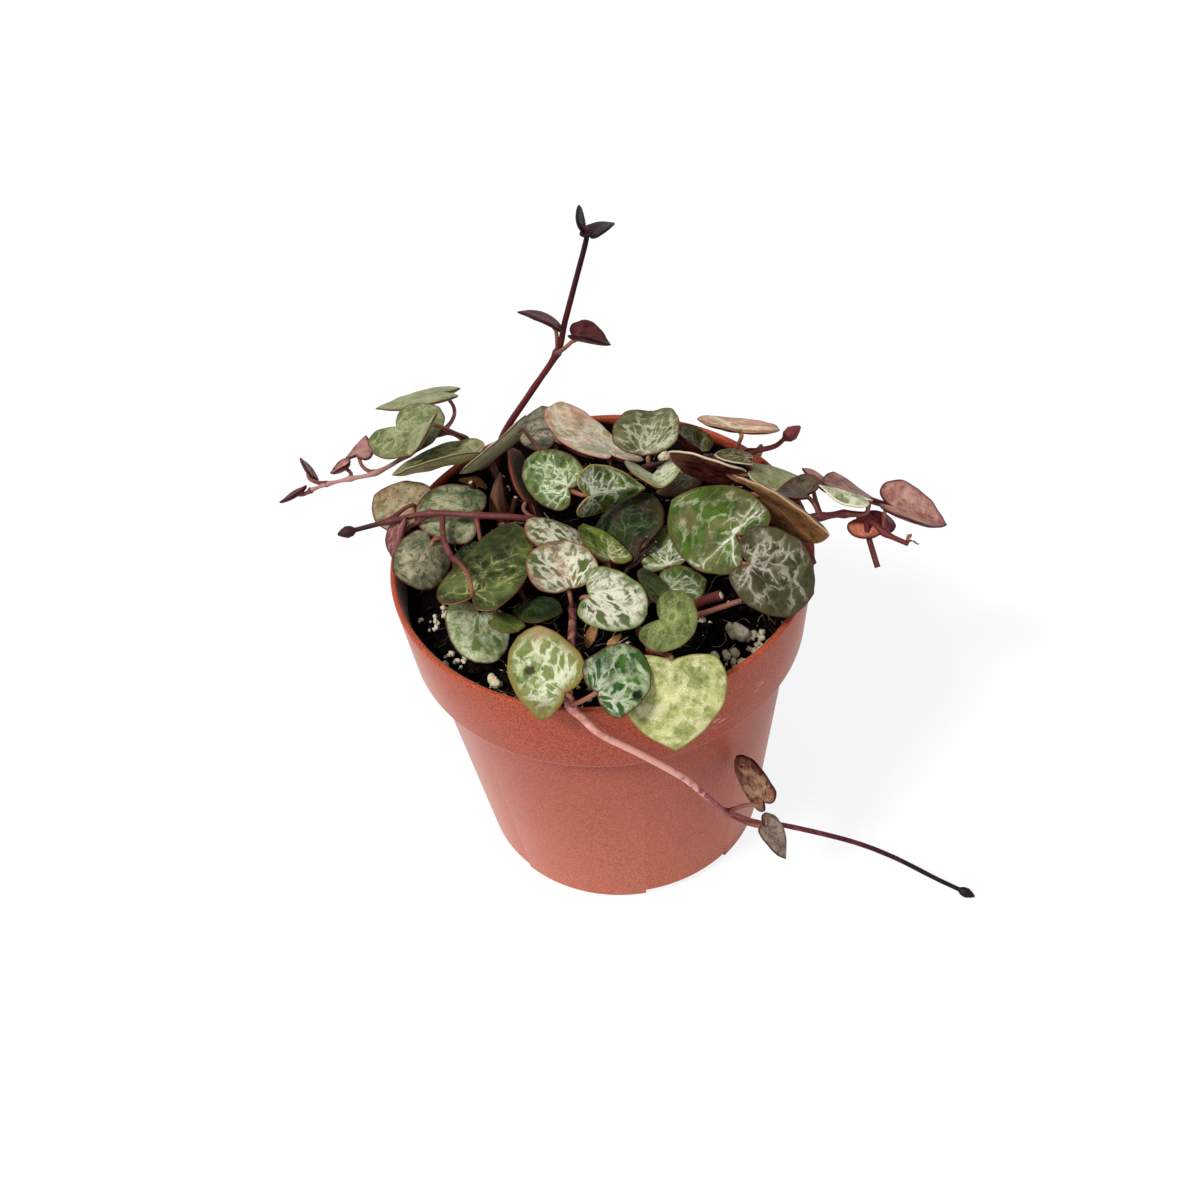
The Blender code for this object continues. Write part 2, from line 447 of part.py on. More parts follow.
def build_leaf(name, key, slot="leaf"):
    """A blade: two skins that meet at the rim, cupped, folded and curled as its row says."""
    place, turns, (length, width), (*form, point, lobe) = LEAVES[key]
    right, tip, up = leaf_axes(*turns)
    rim = outline(point, lobe)
    count = len(rim)
    thickness = BLADE_THIN + BLADE_THICKENING * length
    flat = [(0.0, 0.0, BLADE_CENTRE)]
    for share in BLADE_RINGS:
        flat += [(share, u * share, BLADE_CENTRE + (v - BLADE_CENTRE) * share) for u, v in rim]
    upper, lower = [], []
    for share, u, v in flat:
        middle = blade_middle(u, v, width / 2, form)
        depth = thickness * (1 - share ** RIM_FULLNESS) ** RIM_ROUNDING
        base = Vector(place) + u * width / 2 * right + v * length * tip
        upper.append(base + (middle + UPPER_SHARE * depth) * up)
        lower.append(base + (middle - (1 - UPPER_SHARE) * depth) * up)
    points = upper + lower[:1 + count]
    faces = []
    for skin in (0, 1):
        centre = skin * len(upper)
        inner = centre + 1
        edge = 1 + count
        for step in range(count):
            after = (step + 1) % count
            ring = [(centre, inner + step, inner + after),
                    (inner + step, edge + step, edge + after, inner + after)]
            faces += [face[::-1] if skin else face for face in ring]
    return mesh_object(name, points, faces, slot)


def build_stalk(name, start, key, joined):
    """The stalk of one leaf, from the stem to just under the blade's notch."""
    place, turns, (length, _), _ = LEAVES[key]
    _, tip, up = leaf_axes(*turns)
    start = Vector(start)
    along, under = APPROACHES.get(key, APPROACH)
    if joined:
        end = Vector(place) + YOUNG_REACH * length * tip - YOUNG_DEPTH * up
    elif under < 0:
        end = Vector(place) - STALK_BACK * tip + STALK_ABOVE * up
    else:
        end = Vector(place) - STALK_BACK * tip - STALK_BELOW * up
    reach = (end - start).length
    bend = end - (along * tip + under * up).normalized() * reach * STALK_BEND
    line = []
    for step in range(PETIOLE_STEPS + 1):
        t = step / PETIOLE_STEPS
        line.append(start * (1 - t) ** 2 + bend * 2 * t * (1 - t) + end * t * t)
    radii = [PETIOLE_RADIUS * PETIOLE_FOOT] + [PETIOLE_RADIUS] * PETIOLE_STEPS
    return tube(name, line, radii, sides=STALK_SIDES)


def build_vine(name, plan):
    route = plan["route"]
    line = catmull(route, STEM_STEPS)
    last = len(line) - 1
    radii = [STEM_RADIUS + (TIP_RADIUS - STEM_RADIUS) * index / last
             for index in range(len(line))]
    if "bud" in plan:
        bud_length, bud_radius = plan["bud"]
        ahead = (line[-1] - line[-2]).normalized()
        start = line[-1]
        for share, girth in BUD_SHAPE:
            line.append(start + ahead * bud_length * share)
            radii.append(bud_radius * girth)
    stem = tube(name, line, radii)
    extras = []
    joints = list(route)
    for number, side_route in enumerate(plan.get("side_stems", [])):
        joints += side_route
        side_line = catmull(side_route, STEM_STEPS)
        side_radii = [SIDE_STEM_RADIUS] * len(side_line)
        extras.append(tube(f"{name}_side_{number}", side_line, side_radii))
    for key, index in plan["stalks"].items():
        joined = key in plan["young"]
        extras.append(build_stalk(f"{name}_stalk_{key}", joints[index], key, joined))
        if joined:
            extras.append(build_leaf(f"{name}_young_{key}", key, "stem"))
    return combine(stem, extras, "UNION")


def build_sheath():
    return tube("dry_sheath", catmull(SHEATH_SPINE, 1), SHEATH_RADII, "sheath")


def main():
    clear_scene()
    build_pot()
    build_soil()
    build_sheath()
    for name, plan in VINES.items():
        build_vine(name, plan)
    young = {key for plan in VINES.values() for key in plan["young"]}
    for key in LEAVES:
        if key not in young:
            build_leaf(f"leaf_{key}", key)


main()
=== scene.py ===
"""Looks of the potted string of hearts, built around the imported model.

Places and sizes are in millimetres in the model's own frame, and MM scales them to metres.
Colours are as they look on screen, as six hex digits for red, green and blue.
"""
import math
import random

import bpy
import numpy as np
from mathutils import Matrix, Vector, noise


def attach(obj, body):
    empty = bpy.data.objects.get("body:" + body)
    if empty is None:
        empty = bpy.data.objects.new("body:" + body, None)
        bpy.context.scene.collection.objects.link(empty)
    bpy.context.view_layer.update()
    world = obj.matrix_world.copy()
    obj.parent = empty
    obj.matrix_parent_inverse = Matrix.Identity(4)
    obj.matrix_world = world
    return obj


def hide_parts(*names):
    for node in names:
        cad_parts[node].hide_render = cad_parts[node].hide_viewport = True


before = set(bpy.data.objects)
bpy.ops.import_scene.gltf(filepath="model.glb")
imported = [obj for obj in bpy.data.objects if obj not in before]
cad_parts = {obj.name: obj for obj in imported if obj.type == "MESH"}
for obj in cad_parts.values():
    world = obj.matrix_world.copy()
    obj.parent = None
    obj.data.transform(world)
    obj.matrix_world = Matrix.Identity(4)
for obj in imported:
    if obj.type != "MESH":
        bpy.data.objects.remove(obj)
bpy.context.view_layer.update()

MM = 0.001

# ---- camera and light ---------------------------------------------------------------------
CAMERA_PLACE = (-0.87, -162.7, 209.5)
CAMERA_ELEVATION = 45.5
CAMERA_ROLL = -6.0
CAMERA_LENS = 47.75
SENSOR_WIDTH = 36.0
WORLD_LIGHT = 0.53
KEY_LIGHT = 2.62
KEY_HEADING = (0.62, 0.45, -1.0)  # the way the key light travels
KEY_ANGLE = 12.0
FLOOR_HALF = 3000.0
FLOOR_SINK = 0.03
FLOOR_COLOUR = (0.76, 0.78, 0.84, 1.0)
WHITE = (1.0, 1.0, 1.0, 1.0)
STAGE_WHITE = 1.08  # how bright the white is that the camera sees for the stage
FLOOR_WHITE = 0.78  # share of it in the floor, which keeps the rest for the shadow
GLOSS_WHITE = 0.8  # share of it that glossy surfaces see in the world

# ---- pot and soil -------------------------------------------------------------------------
POT_HEIGHT = 54.2
RIM_RADIUS = 30.0
COLLAR_FOOT_RADIUS = 28.8
COLLAR_FOOT_HEIGHT = 41.0
BODY_TOP_RADIUS = 27.0
BASE_RADIUS = 21.8
WALL = 0.9
BASE_THICKNESS = 1.2
STEP_TOP = COLLAR_FOOT_HEIGHT + 1.0  # inside the pot, where the wall steps in
STEP_FOOT = COLLAR_FOOT_HEIGHT - 0.6
CORNER_ROUND = 0.42
FINE_POT_SIDES = 192
SMOOTH_ANGLE = 40.0  # degrees, above which an edge stays sharp
NOTCH_COUNT = 4
NOTCH_SWEEP = 38.0  # degrees of the foot that each drainage notch takes
NOTCH_CENTRE = -67.0  # heading of the first notch, in degrees
NOTCH_HEIGHT = 1.3
NOTCH_DEPTH = 3.6
NOTCH_STEPS = 12
CUT_MARGIN = 1.0  # by which a cutter stands past what it cuts
SOIL_GAP = 0.3
SOIL_STEP_LIFT = 0.1  # of the soil's shoulder above the pot's inner step
SOIL_EDGE_HEIGHT = 49.0
SOIL_CROWN_HEIGHT = 51.0
SOIL_DOME = 2.4  # how flat the soil stays before it falls to its edge
SOIL_RINGS = 56
SOIL_LUMPS = ((0.22, 0.7, 0.9, 4), (0.9, 0.35, 0.8, 3))  # frequency, height, roughness, octaves
SHADE_DEPTH = 1.2  # the inner wall is painted near-black as shade from this far below the rim
SCUFF_STRETCH = (0.25, 0.25, 1.6)
SCUFFS = (((13.6, -26.4, 44.8), 1.8), ((19.6, -22.6, 46.6), 1.6))  # (centre, reach)
SOIL_MARGIN = 0.6  # grains keep this far from the soil's edge

# ---- stems --------------------------------------------------------------------------------
STEM_RADIUS = 0.55
TIP_RADIUS = 0.35
SIDE_STEM_RADIUS = 0.42
SLENDER = {"left_back": 0.62}  # what is left of a vine's thickness at its end
STEM_UNEVEN = 0.03
NODE_SWELL = 0.24  # a stem thickens by this much where its leaves spring
NODE_REACH = 0.8
BUD_SHAPE = ((0.2, 0.85), (0.5, 1.0), (0.8, 0.6), (1.0, 0.2))  # shares of length and radius
PETIOLE_RADIUS = 0.32
STALK_BACK = 0.4  # a stalk ends this far behind its blade's notch,
STALK_BELOW = 0.78  # and this far under the blade
STALK_ABOVE = 0.65  # or over it, where it comes from above
STALK_BEND = 0.4  # share of a stalk that runs in its final direction
STALK_SEAT = 0.1  # where a stalk then joins the blade, in blade lengths,
STALK_SUNK = 0.12  # and how deep under the blade's middle surface
STALK_FOOT = 0.2  # by this much a stalk widens at the stem,
STALK_NECK = 0.07  # and by this much at the blade,
STALK_FLARE = 0.12  # over this share of its length
YOUNG_REACH = 0.25  # a young leaf's stalk ends inside it: share of its length
YOUNG_DEPTH = 0.1
STALK_TAPER = 0.1
STALK_END = 0.6  # what is left of a stalk's radius inside its blade
STALK_SHADES = (0.15, 0.9)  # how far along its skin's colours a stalk starts and ends
APPROACH = (0.45, 0.6)  # how a stalk comes up: along the midrib, and from under the blade
STEM_SIDES = 14
STALK_SIDES = 10
STEM_STEPS = 8
STALK_STEPS = 12

# ---- blades -------------------------------------------------------------------------------
# Half of a blade's outline, from the notch at the stalk to the tip: x in half widths from the
# midrib, y in blade lengths.  "point" goes from 0, round, to 1, heart-shaped, and "lobe"
# scales how far the two lobes reach back past the stalk.
ROUND_HALF = [(0, 0), (0.16, -0.12), (0.42, -0.21), (0.74, -0.16), (0.95, 0.04),
              (1.0, 0.32), (0.92, 0.60), (0.72, 0.81), (0.40, 0.95), (0, 1.0)]
HEART_HALF = [(0, 0), (0.16, -0.12), (0.42, -0.20), (0.74, -0.14), (0.95, 0.06),
              (1.0, 0.28), (0.90, 0.52), (0.66, 0.74), (0.32, 0.91), (0, 1.04)]
BLADE_CENTRE = 0.32  # on the midrib, in blade lengths
BLADE_THIN = 0.5  # thickness of the smallest blade
BLADE_THICKENING = 0.05  # thickness gained for each millimetre of length
UPPER_SHARE = 0.3  # of the thickness lies above the blade's middle surface
RIM_FULLNESS = 4  # how far out a blade keeps its thickness
RIM_ROUNDING = 0.6  # how bluntly it then ends
CUP_SHARE = 0.7  # of the stated cup reaches the blade's sides
CUP_CENTRE = 0.35  # the cup's lowest place, in blade lengths
FOLD_ROUND = 0.55  # radius of the fold along the midrib
CURL_START = 0.1  # where the curl towards the tip begins, in blade lengths
RIM_FINENESS = 0.75  # outline steps for each millimetre of a blade's width
RING_FINENESS = 2.4  # rings for each millimetre of its length
RING_CROWDING = 1.25  # how strongly a blade's rings crowd towards its rim
EDGE_WAVES = ((3, 0.018), (7, 0.012), (13, 0.008))  # waves round the rim, and how high
SLOW_WAVES = 4
SLOW_HEIGHT = (0.006, 0.014)
LUMP_HEIGHT = 0.012
LUMP_FREQUENCY = 0.45
VEIN_FAN = 4.4  # main veins leave the stalk over this angle, in radians
FAN_WANDER = 0.2
VEIN_START = 0.02  # where the veins start and how far they reach, in blade lengths,
VEIN_REACH = 0.85
SIDE_LOSS = 0.17  # and how much less far for each radian away from the midrib
VEIN_LENGTHS = (0.75, 1.05)
VEIN_STEP = 0.5
VEIN_WANDER = 0.22
VEIN_KINK = 0.7  # now and then a vein turns by this much
KINK_CHANCE = 0.18
VEIN_TAPER = 0.7
VEIN_BARE = 0.9  # a vein runs this far before it first branches
BRANCH_GIRTH = 0.8
BRANCH_TURN = (0.6, 1.2)
BRANCH_REACH = (0.35, 0.85)
VEIN_ORDERS = 2
VEIN_RELIEF = 0.07
VEIN_SLOPE = 0.6  # the relief rises over this distance from a vein
FAN_BACK = 1.0  # the net's cells fan out from this far behind the stalk
FAR = 9.0  # the distance to a vein or rim that says there is none

# ---- leaves and vines -----------------------------------------------------------------------
# Each leaf: stalk point x, y, z; heading, pitch, roll in degrees; length, width; cup in mm,
# fold in degrees, curl in mm, point, lobe; its vine, and the point that its stalk springs from,
# counted along the vine's route and on along its side stem; how its stalk comes up, where that
# isn't as APPROACH says; and "young" where it is one piece with the shoot.
LEAF_ROWS = """
crown_1  2.7 12.1 60.7  121 -7 32  14.2 12.8  1.6 -10 2 0 0.9  crown 3
crown_2  -5 19 58.5  100 -5 5  9 9.5  0.7 -10 0.5 0.5 1  crown 1
crown_3  -9.4 7.8 57.9  98 5 70  9.6 9.6  0.2 -8 0.5 0.2 1  left 1
crown_4  -3.5 4 62.5  130 0 -40  9 8  0.5 -5 0 0.2 0.8  crown 2
crown_5  -1 1 63.5  35 -20 75  8.5 7.5  1 -35 1.5 1 0.9  crown 2  0.1 0.8
crown_6  8.6 10.3 58  -85 20 -5  7.5 8.5  0.7 30 0.5 0.3 0.6  crown 4
crown_7  14.5 11.5 56  185 -20 15  6 6.5  -0.1 -10 0 0.5 1.1  crown 6
crown_8  8 9.8 62.2  82 5 -4  9.3 9.6  0.2 30 -0.6 0.1 0.3  crown 4  -0.5 0.8
back_right_1  19 3.5 63  170 20 60  9 9.5  0 -10 0.5 0.4 0.9  back_right 2  0.8 0.2
back_right_2  15.6 12 59.5  140 25 30  6 7  1 20 0 0.4 0.6  back_right 1
back_right_3  21.8 12.2 62.8  95 -29 15  8.4 12  0.3 4 0.4 0.3 0.9  back_right 3  -0.6 0.8
back_right_4  22 8.5 60.8  170 15 15  4.6 4.6  -0.3 5 -0.5 0.4 1  back_right 4
back_right_5  23 9 58  0 -25 -15  7.5 8.5  0.2 -10 0.5 0.5 0.9  back_right 3
right_1  22.5 0 62  -50 5 -65  13 14.5  -1.3 -5 0 0.8 0.3  right 1  0.7 0.2
right_2  29.5 1.5 59  135 -15 0  5 6  0.5 20 -0.5 0.2 1.2  right 2
right_3  33.5 7 55.1  140 30 30  4.5 4.5  -0.2 0 -0.5 0.6 1  right 2  -0.5 0  young
right_4  38.5 2.5 56  120 -15 35  8.5 10  0.9 -15 1 0.3 1.1  right 4  0.2 0.8
right_5  37 -1.6 59.8  152 2 26  6.6 5.2  -0.2 -12 0.6 1 0.7  right 3
right_6  39 -0.5 53.5  170 -15 0  4 4.5  0 -5 1 0 1  right 4  young
right_7  38 1 52.5  15 -5 5  4.5 5  -0.3 5 -0.5 0 1  right 4  young
right_8  40.9 -0.6 57  -18 -20 -12  8 9.8  0.3 20 0.2 1 1.3  right 5  0 0.9
left_back_1  -21.5 33 59  -180 -5 25  10.5 11  -0.2 0 -0.5 0.8 1.2  left_back 3
left_back_2  -28.5 24.7 60.2  -50 8 10  9.5 12  0.2 0 1 0.3 1  left_back 4  0 0.4
left_back_3  -22.9 19 64.6  -115 -10 46  6.2 6.4  0.1 8 0 0.4 0.8  left_back 2  0.3 0.8
left_back_4  -35.5 25 55  65 0 -10  4 4.5  0.5 -30 0.5 1 0.6  left_back 5  young
left_back_5  -36.5 23 55  -170 -15 20  3 3.5  0.8 10 -0.5 0.9 1  left_back 6  young
left_back_6  -42 21.5 55  115 25 65  3.5 4  0.2 5 -0.5 1 1  left_back 7  young
left_back_7  -43.5 19 54.5  -175 -25 25  4 3  0.1 10 0 0.9 1  left_back 8  young
left_1  -16.6 15.4 60.9  -178 -6 28  12.5 10.5  0 18 -0.6 0.4 0.5  left_back 1  -0.5 0.8
left_2  -10 15.3 65.2  -150 -20 55  10.5 11  0.7 -10 0 0.5 0.8  crown 1  0 0.8
left_3  -26.2 10.4 55.9  150 0 -10  6.6 9.6  0.6 -5 0.5 0.4 0.9  left 5  0 -1
left_4  -17.4 7.3 56.2  165 10 -3  8.8 11.6  -0.5 2 -0.3 0.1 0.5  left 3  -0.5 -0.5
left_5  -23.5 1.3 57.4  -115 -5 -30  8 8  -0.5 -15 0.5 0 1  left 8  -0.5 -0.5
left_6  -28 6 57.5  -115 -30 40  5 5.5  0 10 -0.5 0.9 1  left 4  young
left_7  -16.9 1.6 55.1  -130 -5 0  5.5 5.5  -0.3 5 0 0.3 0.8  left 3  0 -1
front_left_1  -17.7 -11.2 58.3  63 -8 -5  13.8 11.2  2 -12 2.2 0.1 1.15  left 9  -0.2 -0.7
front_left_2  -17.5 -10 54  -95 -5 -30  8.5 9.5  0 0 0 0.2 1  front_left 3
front_left_3  -15 -13.5 56  -20 -15 -15  4 4.5  0.1 -5 0.5 0.4 1.1  front_left 2  young
front_left_4  -10.1 -9.7 54.9  -65 12 -5  5.6 6.5  -0.3 -5 0.3 0 0.8  front_left 1
centre_1  -4.8 -12.8 59.5  108 6 5  7.8 9.5  1 12 0.8 0.1 0.3  trailing 1
centre_2  -3.5 -3 57.5  145 20 15  8 8  -0.5 0 0 0.2 1  middle 1
centre_3  1 -6.5 58  115 5 35  7.5 8  0.5 10 0 0.9 0.7  middle 2
centre_4  1.5 5 56.5  -65 10 30  10.5 12  -0.8 -20 0 0.3 0.7  crown 2
centre_5  9 -7 56  85 -5 -15  7.5 7.5  1.4 5 0.5 0.9 1  middle 3
centre_6  8.5 -11.5 56  15 0 25  5.5 6  0.4 10 -0.5 0.8 0.8  middle 3
centre_7  7 -14.5 58  110 15 35  5 5  0 5 0 0.1 1  middle 4  young
centre_8  6.5 -21.1 60.7  -50 15 30  7 8.5  0.5 10 0.5 0.1 0.9  middle 5
centre_9  -2.2 -15.7 60.9  -15 -20 20  8 8.7  0.4 12 0 0.1 0.6  middle 4
front_1  -6.5 -30.5 59  120 5 -40  11.4 10.2  0 10 -0.5 0.2 0.4  trailing 4
front_2  -2.4 -32.3 60.6  42 -8 40  8.7 8.6  0.6 5 0 0.1 0.5  trailing 4
front_3  7.4 -27 59.1  -95 -48 -3  11.2 13.6  0.1 0 0.4 0.8 0.35  middle 6  0 0.9
broad_1  18 -10 63.5  125 -10 -30  13 12.5  -0.2 -15 0.5 0.1 1  broad 3
broad_2  19 -14.5 62.5  -5 -35 35  10.5 11.5  0.3 15 -0.5 0.4 1.2  broad 3  -0.5 0.4
tall_1  -3 24 76  165 30 25  5.5 5.5  -0.7 15 -0.5 1 1  tall 3
tall_2  -0.5 20.5 76  -10 -10 -15  5 6  0.1 30 -0.5 1 1  tall 3
tall_3  2 22.5 92.5  145 75 20  3 3  0.2 0 0.5 0.8 1  tall 7  young
tall_4  3 21 92  40 10 -15  4 4.5  0 10 -1 0.8 1  tall 7  young
trailing_1  19 -27 27.5  120 25 -80  7.5 7.5  -0.4 -5 -0.5 0.2 0.7  trailing 11  -0.5 -0.5
trailing_2  19.5 -26.5 21  -35 -45 -20  6 6.5  -0.6 15 -1 1 0.9  trailing 11
"""

# Each vine: the route of its stem from the soil outwards, the route of a side stem, and the
# length and radius of a bud at its tip.
VINES = {
    "tall": dict(route=[(-15, 21.5, 50.4), (-13, 23.2, 57), (-8, 23.5, 64.5), (-3.3, 23.5, 71.4),
        (-1.7, 23.5, 76.6), (0.4, 23.2, 83.5), (2.2, 22.8, 89.5), (2.6, 22.3, 91.8)]),
    "left_back": dict(route=[(-13.5, 17, 50.8), (-15, 19.5, 55.5), (-18.5, 22.5, 58.2),
        (-22, 23.5, 59), (-27, 21.5, 57.2), (-32, 19.5, 56), (-36, 19.2, 55.6), (-39.5, 19, 55.2),
        (-42, 18.5, 54.8)]),
    "left": dict(route=[(-4.5, 5.5, 51.5), (-6.5, 4.2, 56), (-11, 3.4, 58.6), (-17, 4.4, 59),
        (-23.5, 5.6, 59.2), (-29.5, 6.4, 57.8), (-34.5, 6, 57.2)],
        side_stem=[(-21.8, 5.4, 58.9), (-21.8, 1.6, 58), (-20.8, -2, 57.4)], bud=(2.6, 0.9)),
    "front_left": dict(route=[(-10.5, -3, 51.3), (-12, -5, 53.6), (-14.5, -7, 54),
        (-17, -7.8, 53.4)]),
    "crown": dict(route=[(-6.5, 12.5, 51.5), (-4.5, 10.5, 55.5), (-1.5, 8.8, 57.4),
        (2.5, 10, 57.4), (7.5, 12.6, 57.2), (12, 16, 55), (16.5, 14.5, 54)]),
    "back_right": dict(route=[(14, 18, 51), (15.5, 16.5, 55), (17.4, 13.6, 57), (20, 12.2, 57.9),
        (22.9, 12.9, 58), (26.6, 13.6, 58), (28.2, 14.5, 58.4)], bud=(3.2, 1.1)),
    "right": dict(route=[(21.5, 2.5, 50.7), (25, 1.5, 54.6), (31, -0.5, 56.4), (34.5, 0.2, 55.8),
        (37.5, -0.4, 55.4), (39.8, -2.6, 54), (42.5, -5.3, 54)],
        side_stem=[(37.5, -0.4, 55.4), (37.8, -1.6, 52.6), (38.6, -4.8, 49.5)]),
    "middle": dict(route=[(-3.5, 1, 51.5), (-1, -1.5, 54), (1.5, -5, 55), (3, -9, 54.4),
        (3.5, -13.5, 54.6), (4, -18, 55.4), (5, -22, 56)]),
    "broad": dict(route=[(12.5, -4, 51.4), (15, -6, 55), (18, -7.6, 57.4), (19.4, -8.6, 58.8)],
        side_stem=[(18, -7.6, 57.4), (23, -5, 56), (28, -4.6, 55.6), (28.8, -8.3, 55.2)]),
    "trailing": dict(route=[(-4.8, -9, 51.4), (-4.6, -12.5, 55.5), (-5.2, -19.6, 56.6),
        (-6, -27, 56.4), (-6, -30.4, 56.5), (-4.5, -31.3, 54.5), (-2.5, -31.6, 51.5),
        (2.3, -31, 46), (7.5, -29.5, 38.5), (10.2, -28.2, 33), (12.4, -27, 28), (14.2, -25.6, 24),
        (18.6, -25, 20), (23.1, -24, 17), (32.7, -23.6, 11), (39.2, -24.5, 7), (45.6, -26.3, 2.8),
        (49, -27.8, 1.4)], bud=(2.6, 0.8)),
}

# ---- looks of the stems and blades ----------------------------------------------------------
# a stem skin: its colour at the foot, (from, to, colour) along it, and its bloom
STEM_SKINS = {
    "stem": ("481a1a", ((0, 1, "682c2a"),), "8c5c52"),
    "stalk": ("5c2224", ((0, 1, "96624c"),), "a06c60"),
    "twig": ("2c1612", ((0, 1, "341a14"),), "604032"),
    "stem_tall": ("5a1e22", ((0.3, 1, "100405"),), "70403a"),
    "stem_left": ("62302e", ((0.72, 0.95, "301212"),), "96645c"),
    "stem_left_back": ("582022", ((0.3, 0.7, "ac7e78"),), "c4a09a"),
    # its pale pink band where it crosses the pot is partly its own colour and partly painted light
    # shining through the stem
    "stem_trailing": ("541e20", ((0.08, 0.2, "b2706a"), (0.24, 0.38, "ecaa9a"),
                                 (0.46, 0.56, "9e5454"), (0.6, 0.8, "541a20"),
                                 (0.75, 0.95, "100305")), "f0beb0"),
}

# What a blade's skin looks like, unless its own row says otherwise.
# "tree" is how white the branching veins are, "girth" and "forks" how stout and branched,
# "net" how much of the fine net shows between them, "blotch" how much pale mottling there is
# and "islands" how many of the net's cells are dark all over.  "spots" are single patches of
# colour, stains on most leaves and painted shade and painted light on front_left_1: (where in
# the blade's own plane, reach, colour, strength).
SKIN = dict(dark="283414", mid="586830", pale="d8dac4", tree=0.8, girth=0.13, mains=7, forks=0.3,
    net=0.4, width=0.12, cells=3.4, ring=0.42, islands=0, blotch=0, flecks=0, island="606e3e",
    blush="966054", blushing=0, margin="605434", margin_share=0.3, margin_width=1.2, rim="543226",
    rim_share=0.9, rim_width=0.32, spots=(), gloss=0.5)
NETTED = dict(dark="243412", mid="566a2e", tree=0.95, girth=0.15, forks=0.36, net=0.75, cells=2.7,
    ring=0.36, width=0.12, blotch=0.12)
BOLD = dict(dark="32441c", mid="546a32", pale="d4d2bc", tree=1, girth=0.22, mains=5, forks=0.34,
    net=0.6, cells=2, ring=0.3, width=0.11, margin_share=0.45)
DEEP = dict(dark="0e140a", mid="2e3c22", pale="707e60", tree=0.35, net=0.25, width=0.08,
    flecks=0.4, rim="3c241e")
PLAIN_GREEN = dict(dark="404e1e", mid="707e42", pale="acb27c", tree=0.22, girth=0.1, net=0.12,
    width=0.08, rim="605432", margin_share=0.15)
CREAM = dict(dark="3e4826", mid="b0ac8c", pale="e4e0cc", tree=0.8, girth=0.22, net=0.8, width=0.22,
    islands=0.55, blotch=0.5, flecks=0.4, rim="805042")
LIME = dict(dark="7a824c", mid="b8b880", pale="ded8b0", tree=0.3, girth=0.25, net=0.3, width=0.2,
    blotch=0.7, flecks=0.45, rim="847a42", margin="a0a468", margin_share=0.35)
SAGE = dict(dark="62683e", mid="96986e", pale="c0c09e", tree=0.3, girth=0.1, net=0.15, width=0.12,
    blotch=0.25, flecks=0.2, rim="54362a", margin_share=0.15)
BEIGE = dict(dark="343a22", mid="90866a", pale="c2b89c", tree=0.15, girth=0.1, net=0.05,
    blotch=0.5, flecks=0.85, rim="4e2a22")
OLIVE = dict(dark="262612", mid="585832", pale="b4ac8e", tree=0.6, net=0.5, rim="502e22",
    margin="603c2e", margin_share=0.4)
MAUVE = dict(dark="5c2c2e", mid="a06862", pale="c89c92", tree=0.25, net=0.1, width=0.1,
    blotch=0.35, rim="2c0c10", rim_width=0.5, margin="74363a", margin_share=0.45)
MAROON = dict(dark="280a0d", mid="5c2426", pale="8c524a", tree=0.25, net=0.1, width=0.08,
    rim="280c0e", margin="3c1216")
BLACKISH = dict(dark="0c0406", mid="220e10", pale="4e2a2a", tree=0.2, net=0.05, rim="0e0506",
    margin="140608")
UNDERSIDE = dict(dark="643224", mid="9e644e", pale="c89a7a", tree=0.3, girth=0.1, net=0.1,
    width=0.1, blotch=0.3, rim="be9c78")


def looks(upper, lower, under=None, **changes):
    """The whole looks of a blade's upper and under skin."""
    return {**SKIN, **upper, **changes}, {**SKIN, **lower, **(under or {})}


